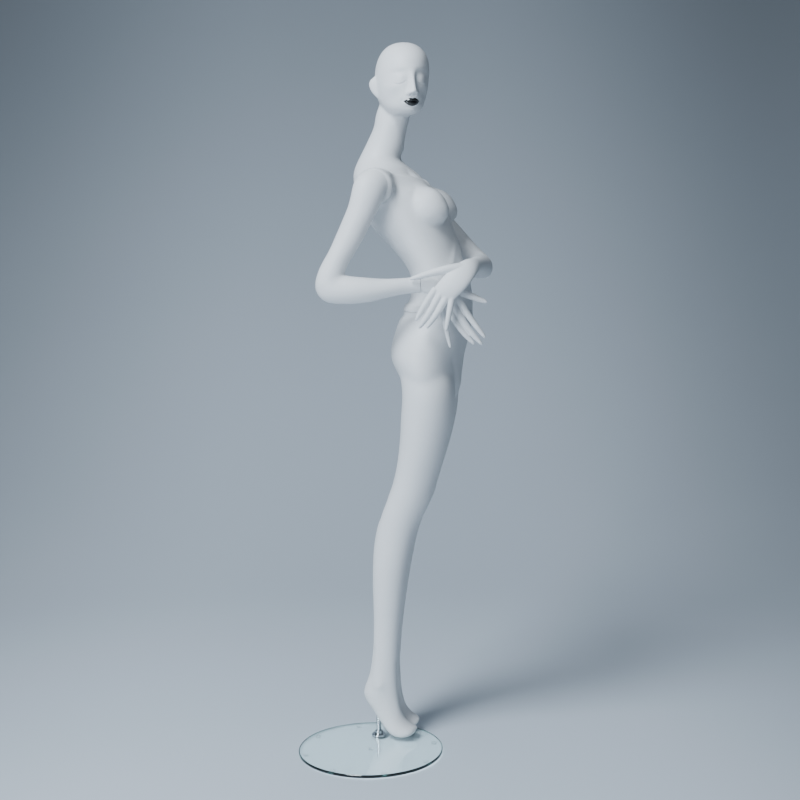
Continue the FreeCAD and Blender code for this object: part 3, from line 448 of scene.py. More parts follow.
# ---------------------------------------------------------------- modelling on the skin
VIEWS = {                   # the way a form faces, and the two station axes it is drawn on
    "front": ((0, -1, 0), (0, 2)), "back": ((0, 1, 0), (0, 2)),
    "right": ((-1, 0, 0), (1, 2)), "left": ((1, 0, 0), (1, 2)), "above": ((0, 0, 1), (0, 1)),
}


def eased(values):
    """Soft step from 0 to 1."""
    values = np.clip(values, 0.0, 1.0)
    return values * values * (3.0 - 2.0 * values)


def form(points, normals, view, start, end, width, height):
    """Soft rise along a line drawn in one view, or a fall where the height is negative."""
    facing, axes = VIEWS[view]
    flat = points[:, axes]
    start, run = np.array(start, float), np.array(end, float) - np.array(start, float)
    share = np.clip((flat - start) @ run / max(run @ run, 1e-9), 0.0, 1.0)
    gap = (flat - start - share[:, None] * run) / np.array(width, float)
    return eased(normals @ np.array(facing, float) / 0.5) * height * np.exp(-np.sum(gap * gap, axis=1))


def mound(points, centre, radii, height):
    """Soft round rise about a point of the skin."""
    gap = (points - np.array(centre, float)) / np.array(radii, float)
    return height * np.exp(-np.sum(gap * gap, axis=1))


def cord_form(points, start, end, width, height):
    """Soft rise along a line in space."""
    start, run = np.array(start, float), np.array(end, float) - np.array(start, float)
    share = np.clip((points - start) @ run / (run @ run), 0.0, 1.0)
    gap = np.linalg.norm(points - start - share[:, None] * run, axis=1)
    return height * np.exp(-((gap / width) ** 2))


def stations(bm, above_waist):
    """Stations of all vertices in millimetres, with their normals."""
    origin = at(0, 0, 0, above_waist)
    bm.normal_update()
    points = np.array([vert.co - origin for vert in bm.verts]) / MM
    normals = np.array([vert.normal for vert in bm.verts])
    return points, normals


def shape(bm, forms, above_waist, mirrored=(), rounds=()):
    """Raise and sink the forms of a body on its skin."""
    points, normals = stations(bm, above_waist)
    height = np.zeros(len(points))
    for view, start, end, width, rise in forms:
        height += form(points, normals, view, start, end, width, rise)
    for view, start, end, width, rise in mirrored:
        for side in (-1, 1):
            first, second = (side * start[0], start[1]), (side * end[0], end[1])
            height += form(points, normals, view, first, second, width, rise)
    for centre, radii, rise in rounds:
        height += mound(points, centre, radii, rise)
    push_out(bm, normals, height)


# ---------------------------------------------------------------- seams
SHELL = 3.5 * MM             # wall at a seam
RIM = 0.6 * MM               # softened edge of a seam
LIP_DEPTH = 17.0 * MM        # the inside of a shell, down past its seam board


def settle(bm, ring, reach):
    """Bring the skin near a seam onto the seam's outline."""
    long_axis, short_axis = ring.across, ring.along
    normal = long_axis.cross(short_axis).normalized()
    for vert in bm.verts:
        offset = vert.co - ring.centre
        height = offset.dot(normal)
        if abs(height) > reach or offset.length > 1.6 * long_axis.length + reach:
            continue
        u = offset.dot(long_axis) / long_axis.length_squared
        v = offset.dot(short_axis) / short_axis.length_squared
        radius = math.hypot(u, v)
        if not 0.6 < radius < 1.5:
            continue
        pull = float(eased(1.25 * (1.0 - abs(height) / reach)))
        level = offset - normal * height
        vert.co += level * (pull * (1.0 / radius - 1.0))


def cut_back(bm, point, normal, near=None):
    """Remove what lies past a plane; near limits the cut to some faces."""
    faces = [f for f in bm.faces if near is None or near(f.calc_center_median())]
    geom = list({part for face in faces for part in (*face.verts, *face.edges)}) + faces
    bmesh.ops.bisect_plane(bm, geom=geom, dist=1e-7, plane_co=point, plane_no=normal)
    gone = [f for f in bm.faces if (f.calc_center_median() - point).dot(normal) > 0
            and (near is None or near(f.calc_center_median()))]
    bmesh.ops.delete(bm, geom=gone, context="FACES")
    rim = [v for v in bm.verts if v.is_boundary]
    bmesh.ops.remove_doubles(bm, verts=rim, dist=0.5 * MM)


def close_seam(bm, normal, near):
    """Turn an open edge in: softened rim, wall, and the inside down past the seam board."""
    normal = Vector(normal).normalized()
    bm.normal_update()
    edges = [e for e in bm.edges if e.is_boundary and near(e.verts[0].co) and near(e.verts[1].co)]
    trace = bm.verts.layers.int.get("trace") or bm.verts.layers.int.new("trace")
    homes = []
    for index, vert in enumerate({v for edge in edges for v in edge.verts}):
        away = vert.normal - normal * vert.normal.dot(normal)
        homes.append((vert.co.copy(), away.normalized()))
        vert[trace] = index
        vert.co -= normal * RIM
    profile = ((0.3 * RIM, 0.3 * RIM), (RIM, 0.0), (SHELL, 0.0), (SHELL, LIP_DEPTH))
    before = set(bm.faces)
    for inward, depth in profile:
        fresh = grow(bm, edges)
        for vert in fresh:
            home, away = homes[vert[trace]]
            vert.co = home - away * inward - normal * depth
        edges = edges_among(fresh)
        if inward <= RIM:
            for face in set(bm.faces) - before:
                face.smooth = True
            before = set(bm.faces)
    bmesh.ops.contextual_create(bm, geom=edges)


def within(point, reach):
    """Test for being near a point."""
    point = Vector(point)
    return lambda place: (place - point).length < reach


def white_piece(bm, name, body, nodes, material):
    """Finish a moulding: its object, what it rides on and what it stands for."""
    piece = to_object(bm, name)
    piece.data.materials.append(material)
    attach(piece, body)
    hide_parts(nodes)


LACQUER = FINISHES["white_shell"]

# ---------------------------------------------------------------- stations of the figure, millimetres
HIPS = [  # height, back, front, half width
    (1170, -88, -263, 121), (1158, -84, -262, 124), (1140, -75, -261, 130), (1120, -67, -257, 140),
    (1095, -59, -250, 152), (1065, -51, -243, 161), (1035, -52, -236, 166), (1005, -69, -233, 167),
    (975, -82, -229, 158), (950, -90, -222, 138), (925, -98, -212, 104),
]
LEG = [  # height, back, front, half width, distance of the axis from the mid-plane
    (1040, -90, -190, 52, 86), (1015, -88, -212, 66, 85), (985, -88, -224, 75, 84.5),
    (955, -92, -229, 79, 84), (925, -90, -228, 79, 82.5), (885, -86, -223, 76, 79),
    (840, -83, -212, 71, 74), (790, -77, -198, 65, 68.5), (735, -66, -178, 57, 61),
    (690, -52, -164, 52, 56), (645, -30, -144, 49, 52), (605, -16, -123, 46, 49),
    (560, -5, -106, 44, 47), (515, 1, -97, 43.5, 46), (465, 3, -87, 42, 45),
    (415, 4, -79, 38, 43), (360, 3, -71, 33, 41), (305, 4, -64, 28.5, 39),
    (255, 7, -59, 26.5, 37.5), (210, 13, -56, 27, 36.5), (178, 19, -56, 28.5, 36),
]
FOOT = [  # under/back point, upper/front point, half width, distance from the mid-plane
    ((31, 152), (-57, 156), 29, 35.5), ((39, 128), (-58, 134), 28, 35.5), ((25, 104), (-60, 112), 27, 35.5),
    ((6, 78), (-64, 90), 27.5, 36), ((-11, 51), (-71, 68), 31, 36.5), ((-29, 25), (-84, 53), 35, 36.5),
    ((-48, 12), (-95, 45), 36, 36.5), ((-71, 12), (-102, 42), 35, 35), ((-89, 14), (-106, 40), 29, 33),
    ((-101, 22), (-109, 38), 19, 31), ((-106, 29), (-110, 36), 8, 29.5),
]
LEFT_LEG_SET_BACK = ((1000, 17), (880, 15), (700, 9), (600, 4), (300, 6), (100, 4))
LEFT_LEG_SPREAD = 4.0
TRUNK = [  # height, back, front, half width
    (1146, -80, -261, 127), (1158, -84, -262, 124), (1172, -92, -263, 120), (1190, -102, -263, 115),
    (1215, -109, -260, 111), (1250, -109, -253, 110), (1295, -82, -236, 115), (1335, -42, -226, 120),
    (1372, -6, -214, 126), (1405, 16, -200, 130), (1440, 31, -187, 131), (1472, 41, -164, 126),
    (1500, 45, -131, 110), (1520, 43, -110, 88), (1535, 38, -92, 68), (1547, 32, -76, 56),
    (1562, 25, -80, 48), (1585, 12, -88, 43), (1608, 1, -92, 41), (1632, -12, -97, 41),
    (1655, -14, -104, 41), (1672, -19, -107, 40), (1688, -26, -104, 38),
]
WAIST = 1158.0
BREAST = [  # forward from the chest wall, drop, half width, half height
    (-46, -8, 48, 54), (-30, -7, 52, 56), (-10, -4, 53, 54), (8, -1, 50, 48), (22, 0, 43, 40),
    (35, 2, 33, 30), (44, 4, 20, 19), (49, 5, 10, 10), (51, 5.5, 4, 4),
]
BREAST_SEAT = (72.0, -167.0, 1418.0)
SHOULDER_SEAM = 140.0
SHOULDER = {"right": (-37.0, 1475.0), "left": (-72.0, 1468.0)}
SHOULDER_RADII = (48.5, 47.0)
SHOULDER_STUB = [  # out, share of the seam's depth, further back, lower, larger by
    (45, 2.0 / 3.0, -17, 12, (16, 12)), (80, 1, 4, 6, (9, 6)), (112, 1, 5, 1, (4, 3)),
    (SHOULDER_SEAM, 1, 0, 0, (0, 0)), (SHOULDER_SEAM + 12, 1, 0, 0, (0, 0)),
]
FACE_TURN = math.radians(60.0)              # towards the figure's right
HEAD_AXIS = (-18.0, -85.0)
HEAD = [  # height, forward, backward, half width, axis further ahead
    (1658, 56, 8, 24, 0), (1663, 70, 28, 37, 0), (1673, 79, 46, 47, 0), (1690, 83, 64, 56, 0),
    (1708, 86, 77, 62, 0), (1730, 88, 84, 65.5, 1), (1752, 89, 88, 67, 3), (1773, 87, 90, 67, 5),
    (1794, 80, 87, 64, 7), (1812, 68, 76, 57, 8), (1827, 50, 59, 45, 8), (1837, 30, 40, 30, 8),
    (1840, 12, 18, 13, 8),
]
EAR = [  # height, back from the cheek axis, out, reach of the flap, thickness
    (1699, 2, 58, 4, 3), (1703, 3, 60, 8, 4), (1710, 5, 63, 11.5, 4.8), (1719, 8, 66.5, 14, 5),
    (1730, 10, 69, 15.5, 5), (1740, 12, 70, 15, 5), (1748, 13, 69.5, 12, 4.6), (1753, 13, 67, 7, 3.6),
    (1756, 13, 66, 3, 2),
]


def set_back(height):
    """How far the left leg stands behind the right one at a height."""
    table = LEFT_LEG_SET_BACK
    if height >= table[0][0]:
        return table[0][1]
    for (high, upper), (low, lower) in zip(table, table[1:]):
        if height >= low:
            return lower + (upper - lower) * (height - low) / (high - low)
    return table[-1][1]


def level_ring(x, z, back, front, half_width, above_waist=False):
    """Level station between a back and a front point."""
    middle_depth, half_depth = (back + front) / 2.0, (back - front) / 2.0
    return Ring(at(x, middle_depth, z, above_waist), (0, half_depth * MM, 0), (half_width * MM, 0, 0))


def leg_rings(side):
    """Stations of a leg with its foot; side is -1 for the right and +1 for the left."""
    rings = []
    spread = LEFT_LEG_SPREAD if side > 0 else 0.0
    for z, back, front, half_width, out in LEG:
        shift = set_back(z) if side > 0 else 0.0
        rings.append(level_ring(side * (out + spread), z, back + shift, front + shift, half_width))
    for under, upper, half_width, out in FOOT:
        shift = set_back(under[1]) if side > 0 else 0.0
        x = side * (out + spread)
        start, end = at(x, under[0] + shift, under[1]), at(x, upper[0] + shift, upper[1])
        rings.append(Ring((start + end) / 2, (start - end) / 2, (half_width * MM, 0, 0)))
    return rings


# ---------------------------------------------------------------- hips and legs
LOWER_FORMS = [
    ("front", (0, 1118), (0, 1100), (62, 52), 3.0),           # belly
    ("front", (0, 962), (0, 952), (24, 24), 5.0),             # pubic mound
    ("back", (0, 1048), (0, 940), (7, 12), -11.0),            # cleft
    ("back", (0, 1140), (0, 1100), (13, 20), -3.0),           # end of the spine furrow
    ("front", (-52, 662), (-52, 655), (22, 22), 3.0),         # right kneecap
    ("front", (56, 662), (56, 655), (22, 22), 3.0),           # left kneecap
    ("front", (-52, 628), (-52, 618), (14, 9), 1.6),          # below the kneecaps
    ("front", (56, 628), (56, 618), (14, 9), 1.6),
    ("front", (-44, 590), (-38, 230), (8, 8), 1.4),           # shins
    ("front", (48, 590), (42, 230), (8, 8), 1.4),
    ("back", (-51, 655), (-50, 622), (17, 17), -3.0),         # hollows of the knees
    ("back", (55, 655), (54, 622), (17, 17), -3.0),
    ("right", (-22, 690), (-12, 655), (8, 20), 1.6),          # tendons at the knee
    ("right", (4, 250), (12, 190), (6, 20), -2.0),            # beside the heel tendon
]
LOWER_PAIRS = [
    ("front", (96, 1092), (88, 1080), (22, 26), 1.5),         # hip bones
    ("front", (84, 1030), (26, 948), (12, 12), -2.2),         # groin
    ("back", (72, 1035), (74, 1015), (46, 34), 2.0),          # seat
    ("back", (30, 974), (84, 980), (9, 10), -2.5),            # fold under the seat
    ("back", (30, 1098), (30, 1092), (8, 9), -2.0),           # dimples over the sacrum
]
LOWER_ROUNDS = [
    ((-65, -14, 158), (9, 11, 13), 4.0), ((-7, -20, 168), (9, 11, 13), 4.0),        # right ankle
    ((69, -10, 158), (9, 11, 13), 4.0), ((11, -16, 168), (9, 11, 13), 4.0),         # left ankle
    ((-62, 12, 150), (8, 8, 16), -2.5), ((-9, 10, 152), (8, 8, 16), -2.5),
    ((-2, -78, 26), (12, 13, 12), 3.0), ((6, -74, 26), (12, 13, 12), 3.0),          # balls of the feet
    ((-20, -20, 55), (14, 24, 14), -4.0), ((22, -16, 55), (14, 24, 14), -4.0),      # arches
]
TOE_GROOVES = (-49, -41, -32.5, -22)                          # between the toes of the right foot


def toes(bm):
    """Shallow grooves between the toes of both feet."""
    points, normals = stations(bm, False)
    depth = np.zeros(len(points))
    for side, shift, back in ((-1, 0.0, 0.0), (1, LEFT_LEG_SPREAD, 4.0)):
        for x in TOE_GROOVES:
            start = (side * (abs(x) + shift), -121 + back, 19)
            end = (side * (abs(x) * 0.97 + shift + 1.0), -101 + back, 38)
            depth -= cord_form(points, start, end, 2.6, 1.5)
    push_out(bm, normals, depth)


def lower_skin():
    """Hips and both legs as one skin."""
    bm = bmesh.new()
    skin(bm, [level_ring(0, z, back, front, half) for z, back, front, half in HIPS], 8 * MM, 72)
    for side in (-1, 1):
        skin(bm, leg_rings(side), 8 * MM, 60)
    bm = welded(bm, 3.2 * MM)
    soften(bm, bm.verts, 10)
    crease = [v for v in bm.verts if 900 * MM < v.co.z < 1060 * MM]
    soften(bm, crease, 25)
    shape(bm, LOWER_FORMS, False, LOWER_PAIRS, LOWER_ROUNDS)
    low_toes = [v for v in bm.verts if v.co.z < 60 * MM and v.co.y < at(0, -90, 0).y]
    bmesh.ops.subdivide_edges(bm, edges=edges_among(low_toes), cuts=1, use_grid_fill=True)
    toes(bm)
    soften(bm, bm.verts, 2)
    settle(bm, level_ring(0, WAIST, *HIPS[1][1:]), 22 * MM)
    return bm


def make_lower_figure():
    """Hips with the right leg, and the left leg cut off along its slanting seam."""
    seat, down_out = hip_seam()
    crotch_x = at(3.0, 0, 0).x
    up = Vector((0, 0, 1))
    top = Vector((MID_X, 0, LOWER_WAIST))
    whole = lower_skin()
    leg_half = lambda place: place.x > crotch_x
    for name, body, node_name in (("hips_and_right_leg", "figure", "lower_body_shell"),
                                  ("left_leg_moulding", "left_leg", "left_leg_shell")):
        bm = whole.copy()
        bmesh.ops.bisect_plane(bm, geom=bm.verts[:] + bm.edges[:] + bm.faces[:], dist=1e-7,
                               plane_co=(crotch_x, 0, 0), plane_no=(1, 0, 0))
        if body == "figure":
            cut_back(bm, top, up)
            cut_back(bm, seat, down_out, near=leg_half)
            close_seam(bm, up, lambda place: abs(place.z - top.z) < 1 * MM)
            close_seam(bm, down_out, lambda place: abs((place - seat).dot(down_out)) < 2 * MM)
        else:
            other = [f for f in bm.faces if not leg_half(f.calc_center_median())]
            bmesh.ops.delete(bm, geom=other, context="FACES")
            gap_seat = seat + down_out * SEAM_GAP
            cut_back(bm, gap_seat, -down_out)
            close_seam(bm, -down_out, lambda place: abs((place - gap_seat).dot(down_out)) < 2 * MM)
        white_piece(bm, name, body, node_name, LACQUER)
    whole.free()


make_lower_figure()


# ---------------------------------------------------------------- trunk and head
FACE = Vector((-math.sin(FACE_TURN), -math.cos(FACE_TURN), 0))
CHEEK = Vector((-FACE.y, FACE.x, 0))


def head_rings():
    """Stations of the head, turned with the face."""
    rings = []
    for z, forward, backward, half_width, ahead in HEAD:
        centre = at(HEAD_AXIS[0], HEAD_AXIS[1] - ahead, z, True) + FACE * ((forward - backward) / 2.0 * MM)
        length = (forward + backward) / 2.0
        rings.append(Ring(centre, FACE * (length * MM), CHEEK * (half_width * MM)))
    return rings


def ear_rings(side):
    """Stations of an ear, a flap that leans back and out."""
    rings = []
    out = CHEEK * side
    lean = (out * 0.62 - FACE * 0.78).normalized()
    across = lean.cross(Vector((0, 0, 1))).normalized()
    for z, back, away, reach, thickness in EAR:
        centre = at(*HEAD_AXIS, z, True) - FACE * (back * MM) + out * (away * MM)
        rings.append(Ring(centre, lean * (reach * MM), across * (thickness * MM)))
    return rings


def shoulder_rings(side):
    """Stations of the stub that ends in a round shoulder seam."""
    depth, height = SHOULDER["right" if side < 0 else "left"]
    rings = []
    for out, share, back, drop, (deeper, taller) in SHOULDER_STUB:
        centre = at(side * out, depth * share + back, height - drop, True)
        deep, tall = SHOULDER_RADII[0] + deeper, SHOULDER_RADII[1] + taller
        rings.append(Ring(centre, (0, -deep * MM, 0), (0, 0, tall * MM)))
    return rings


def breast_rings(side):
    """Stations of a breast, set a little outwards."""
    x, y, z = BREAST_SEAT
    outwards = Vector((side * 0.20, -1.0, 0.0)).normalized()
    across = Vector((1.0, side * 0.20, 0.0)).normalized()
    rings = []
    for forward, drop, half_width, half_height in BREAST:
        centre = at(side * x, y, z - drop, True) + outwards * (forward * MM)
        rings.append(Ring(centre, across * (half_width * MM), (0, 0, half_height * MM)))
    return rings


TRUNK_FORMS = [
    ("front", (0, 1470), (0, 1345), (10, 10), -2.5),          # breastbone
    ("front", (0, 1318), (0, 1228), (9, 9), -2.2),            # middle of the belly
    ("front", (0, 1204), (0, 1201), (5, 7), -7.0),            # navel
    ("front", (0, 1499), (0, 1497), (10, 8), -6.0),           # notch between the collarbones
    ("back", (0, 1470), (0, 1215), (12, 14), -4.0),           # spine furrow
    ("right", (-95, 1335), (-120, 1270), (36, 30), -2.0),
]
TRUNK_PAIRS = [
    ("front", (22, 1489), (116, 1512), (7.5, 8), 3.6),        # collarbones
    ("front", (40, 1512), (96, 1523), (14, 11), -7.0),        # hollows over them
    ("front", (64, 1476), (108, 1488), (16, 12), -2.0),       # and under them
    ("front", (54, 1470), (88, 1458), (28, 20), 4.5),         # over the breasts
    ("front", (22, 1338), (84, 1272), (9, 9), 2.4),           # rib arch
    ("front", (14, 1300), (50, 1250), (16, 16), -1.6),
    ("back", (62, 1448), (78, 1392), (22, 28), 5.0),          # shoulder blades
    ("back", (44, 1440), (56, 1372), (8, 14), -2.0),
    ("back", (30, 1300), (27, 1225), (14, 26), 1.4),          # muscles along the spine
]
NECK_CORDS = [  # start, end, width, rise
    ((22, -22, 1662), (12, -128, 1506), 8, 3.2), ((-50, -70, 1655), (-12, -130, 1506), 7, 2.6),
    ((2, -132, 1512), (0, -118, 1640), 7, -1.5),
]


def face_place(points):
    """Stations in the head's own frame: across the face, forward, height."""
    x = points[:, 0] - HEAD_AXIS[0]
    y = points[:, 1] - HEAD_AXIS[1]
    across = x * CHEEK.x + y * CHEEK.y
    forward = x * FACE.x + y * FACE.y
    return across, forward, points[:, 2]


def bump(across, height, centre, radii, rise, power=2.0):
    """Soft rise drawn on the front of the face."""
    gap = np.abs((across - centre[0]) / radii[0]) ** power + np.abs((height - centre[1]) / radii[1]) ** power
    return rise * np.exp(-gap)


LIP_LINE, LIP_TOP, LIP_BOTTOM, LIP_HALF = 1686.5, 9.5, 11.5, 21.0
NOSE = [  # height, how far it stands out, half width
    (1694, 0, 14), (1700, 1.5, 13), (1704, 11, 12), (1708, 17.5, 11.5), (1712, 18.5, 10.5), (1720, 15.5, 8.8),
    (1731, 11.5, 7.4), (1743, 7.5, 7.2), (1754, 4.5, 8.5), (1764, 1.5, 12), (1775, 0, 15),
]


def lip_edge(across, height):
    """Distance inside the painted lips, negative outside."""
    side = np.clip(np.abs(across) / LIP_HALF, 0.0, 1.4)
    top = LIP_LINE + LIP_TOP * (1.0 - side ** 1.8) - 2.6 * np.exp(-((across / 4.5) ** 2))
    bottom = LIP_LINE - LIP_BOTTOM * (1.0 - side ** 2.2)
    return np.minimum(top - height, height - bottom)


def face_relief(across, height):
    """How far each place of the face stands out of the plain head."""
    stand = np.interp(height, [row[0] for row in NOSE], [row[1] for row in NOSE])
    half = np.interp(height, [row[0] for row in NOSE], [row[2] for row in NOSE])
    relief = stand * np.exp(-np.abs(across / half) ** 2.6)
    relief += bump(across, height, (0, 1687), (27, 19), 5.5)               # round the mouth
    relief += bump(across, height, (0, 1666), (19, 10), 5.0)               # chin
    relief += bump(across, height, (0, 1672), (17, 4.2), -3.0)             # under the lower lip
    relief += bump(across, height, (0, 1700), (2.6, 4), -1.3)              # under the nose
    inside = lip_edge(across, height)
    relief += 2.6 * eased(inside / 5.0)
    parting = np.exp(-(((height - LIP_LINE + 0.8) / 1.5) ** 2))
    relief -= 3.2 * parting * eased((LIP_HALF + 1 - np.abs(across)) / 5)
    relief += bump(across, height, (0, 1692), (3.5, 2.5), 0.8)
    for side in (-1, 1):
        eye = side * 31.0
        lid_edge = 1730.5 + 7.0 * ((across - eye) / 17.0) ** 2 - side * (across - eye) * 0.12
        lid_width = np.exp(-np.abs((across - eye) / 16.0) ** 4)
        relief += bump(across, height, (eye, 1747), (21, 19), -9.0, 2.2)       # socket
        relief += bump(across, height, (eye, 1743), (15.5, 13.5), 9.0, 2.2)    # closed lid
        relief += 0.5 * np.exp(-(((height - lid_edge - 1.6) / 2.2) ** 2)) * lid_width
        relief -= 0.8 * np.exp(-(((height - lid_edge + 2.0) / 2.2) ** 2)) * lid_width
        relief -= 0.3 * np.exp(-(((height - lid_edge - 27.0) / 3.0) ** 2)) * lid_width
        relief += bump(across, height, (side * 30, 1768), (22, 7.0), 1.0)      # brow
        relief += bump(across, height, (side * 10.5, 1707), (4.6, 4.6), 5.0)   # wing of the nose
        relief += bump(across, height, (side * 5.2, 1701.5), (3.0, 2.4), -3.0)  # nostril
        relief += bump(across, height, (side * 44, 1724), (15, 12), 3.5)       # cheekbone
        relief += bump(across, height, (side * 43, 1695), (13, 18), -4.0)      # under it
        relief += bump(across, height, (side * 23.5, 1688), (3.5, 5), -1.8)    # corner of the mouth
    return relief


FAR_OUTSIDE = -9.0                           # lip distance of all the rest of the skin


def shape_head(bm):
    """Face, ears and the finer skin that they need."""
    for reach, low, high, depth in ((60, 1645, 1782, 20), (46, 1669, 1760, 45)):
        points, _ = stations(bm, True)
        across, forward, height = face_place(points)
        chosen = (np.abs(across) < reach) & (height > low) & (height < high) & (forward > depth)
        bmesh.ops.subdivide_edges(bm, edges=edges_among(picked(bm, chosen)), cuts=1, use_grid_fill=True)
        points, _ = stations(bm, True)
        across, forward, height = face_place(points)
        chosen = (np.abs(across) < reach + 4) & (height > low - 4) & (height < high + 4)
        soften(bm, picked(bm, chosen & (forward > depth - 4)), 8)
    points, normals = stations(bm, True)
    across, forward, height = face_place(points)
    facing = eased((normals @ np.array(FACE) + 0.05) / 0.45) * (forward > 10)
    push = face_relief(across, height) * facing
    for vert, rise in zip(bm.verts, push):
        if rise:
            vert.co += FACE * (rise * MM)
    soften(bm, picked(bm, np.abs(push) > 0.05), 2)
    points, normals = stations(bm, True)
    across, forward, height = face_place(points)
    inside = np.where(forward > 40, lip_edge(across, height), FAR_OUTSIDE)
    layer = bm.verts.layers.float.new("lip_edge")
    for vert, value in zip(bm.verts, np.maximum(inside, FAR_OUTSIDE)):
        vert[layer] = value


def make_torso():
    """Trunk, neck and head in one moulding."""
    bm = bmesh.new()
    skin(bm, [level_ring(0, z, back, front, half, True) for z, back, front, half in TRUNK], 8 * MM, 72)
    skin(bm, head_rings(), 5 * MM, 64)
    for side in (-1, 1):
        skin(bm, shoulder_rings(side), 8 * MM, 60)
        skin(bm, breast_rings(side), 5 * MM, 48)
        skin(bm, ear_rings(side), 3 * MM, 32)
    bm = welded(bm, 3.2 * MM)
    soften(bm, bm.verts, 8)
    points, _ = stations(bm, True)
    height = points[:, 2]
    broad = (height < 1505) & (height > 1180)
    soften(bm, picked(bm, broad), 14)
    crease = (height < 1400) & (height > 1345) & (points[:, 1] < -150)
    soften(bm, picked(bm, ~crease & broad), 12)
    shape(bm, TRUNK_FORMS, True, TRUNK_PAIRS)
    points, normals = stations(bm, True)
    rise = sum(cord_form(points, *row) for row in NECK_CORDS)
    push_out(bm, normals, rise)
    shape_head(bm)
    settle(bm, level_ring(0, WAIST, *HIPS[1][1:], True), 22 * MM)
    for side in (-1, 1):
        settle(bm, shoulder_rings(side)[-2], 16 * MM)
    down, face = Vector((0, 0, -1)), Vector((MID_X, 0, UPPER_WAIST))
    cut_back(bm, face, down)
    close_seam(bm, down, lambda place: abs(place.z - face.z) < 1 * MM)
    for side, name in ((-1, "right"), (1, "left")):
        out = Vector((side, 0, 0))
        seat = Vector((SHOULDER_FACE[name], ROD.y, UPPER_WAIST))
        cut_back(bm, seat, out)
        close_seam(bm, out, lambda place: abs(place.x - seat.x) < 1 * MM)
    lacquer = white_lacquer("white_lacquer_painted_lips", with_lips=True)
    white_piece(bm, "torso_and_head", "torso", "torso_shell", lacquer)


make_torso()

# ---------------------------------------------------------------- arms
RIGHT_UPPER_ARM = [  # centre x, y, z; half depth and its dip; other half axis and its lean
    (-140, -37, 1475, 48.5, 0, 47, 0), (-156.4, -30, 1473, 44, 0, 46, 20.5),
    (-170, -25, 1452, 39.5, 6, 37, 50), (-171, -14, 1424, 36.5, 12, 30.5, 87),
    (-173, -4, 1402, 34.5, 24, 30, 90), (-177, 14, 1365, 33, 25, 29.5, 90),
    (-182, 32, 1330, 30.5, 25, 28.5, 90), (-186, 46, 1303, 28.5, 25, 28, 90),
]
RIGHT_FOREARM = [  # x; inner (y, z); outer (y, z); half width
    (-188, (29, 1272), (88, 1290), 28.5), (-190, (32, 1264), (102, 1262), 29.5),
    (-190, (32.5, 1260.5), (111, 1221), 30), (-190, (31, 1257), (88, 1187), 31),
    (-189, (20, 1254), (40, 1184), 31.5), (-187, (0, 1252), (2, 1185), 31),
    (-182, (-30, 1249), (-31, 1189), 29), (-176, (-65, 1246), (-66, 1198), 25.5),
    (-167, (-104, 1247), (-104, 1207), 21.5), (-159, (-135, 1249), (-134, 1210), 18.5),
    (-154, (-156, 1250), (-156, 1211), 17.5),
]
LEFT_ARM = [  # inner (x, reach); outer (x, reach); half width; rise out of the plane of the arm
    ((140, 47), (140, -47), 47, 0), ((141.3, 45.2), (172.7, -41.2), 46, 0),
    ((142, 46), (200, 0), 41, 0), ((143, 56), (205, 50), 37, 0), ((141.7, 76), (203, 84), 35, 0),
    ((131.7, 123.5), (192.3, 136.5), 33.5, 0), ((120.6, 173.8), (179.4, 186.2), 31, 0),
    ((113, 216), (169, 228), 29, 0), ((109, 243), (165, 254), 28.5, 0),
    ((106, 249), (164, 281), 29.5, 0), ((103, 251), (148, 308), 30, 0), ((98, 252), (116, 315), 31, 0),
    ((88, 253), (92, 315), 31.5, 1), ((66, 254), (66, 314), 31, 2), ((30, 256), (30, 309), 28, 4),
    ((-10, 259), (-10, 305), 24, 7), ((-55, 262), (-55, 303), 20.5, 9), ((-95, 264), (-95, 303), 18, 11),
    ((-124, 264.5), (-124, 303), 17, 11.3),
]
LEFT_REACH = Vector((0, -1, -1)).normalized()
LEFT_RISE = Vector((0, -1, 1)).normalized()
ARM_GAP = {"right": Vector((-SEAM_GAP, 0, 0)), "left": Vector((SEAM_GAP, 0, 0))}


def right_arm_rings():
    """Stations of the right arm, from the shoulder seam round the elbow to the wrist seam."""
    rings = []
    for x, y, z, half_deep, dip, half_other, lean in RIGHT_UPPER_ARM:
        fall, tip = math.radians(dip), math.radians(lean)
        deep = Vector((0, -math.cos(fall), -math.sin(fall))) * (half_deep * MM)
        other = Vector((-math.sin(tip), 0, math.cos(tip))) * (half_other * MM)
        rings.append(Ring(at(x, y, z, True) + ARM_GAP["right"], deep, other))
    for x, inner, outer, half_width in RIGHT_FOREARM:
        start, end = at(x, *inner, True), at(x, *outer, True)
        centre = (start + end) / 2 + ARM_GAP["right"]
        rings.append(Ring(centre, (start - end) / 2, (-half_width * MM, 0, 0)))
    return rings


def left_arm_rings():
    """Stations of the left arm, which swings forward and down in one plane."""
    root = at(0, *SHOULDER["left"], True) + ARM_GAP["left"]
    rings = []
    for inner, outer, half_width, rise in LEFT_ARM:
        start, end = [root + Vector((x * MM, 0, 0)) + LEFT_REACH * (reach * MM)
                      for x, reach in (inner, outer)]
        centre = (start + end) / 2 + LEFT_RISE * (rise * MM)
        rings.append(Ring(centre, (start - end) / 2, LEFT_RISE * (half_width * MM)))
    return rings


ARM_ROUNDS = {
    "right": [((-176, 108, 1226), (17, 15, 17), 2.5), ((-206, 92, 1240), (12, 14, 14), 1.5),
              ((-188, -6, 1330), (22, 22, 40), 1.5), ((-160, 30, 1225), (12, 16, 14), 1.2)],
    "left": [((120, -290, 1246), (20, 16, 16), 2.5)],
}


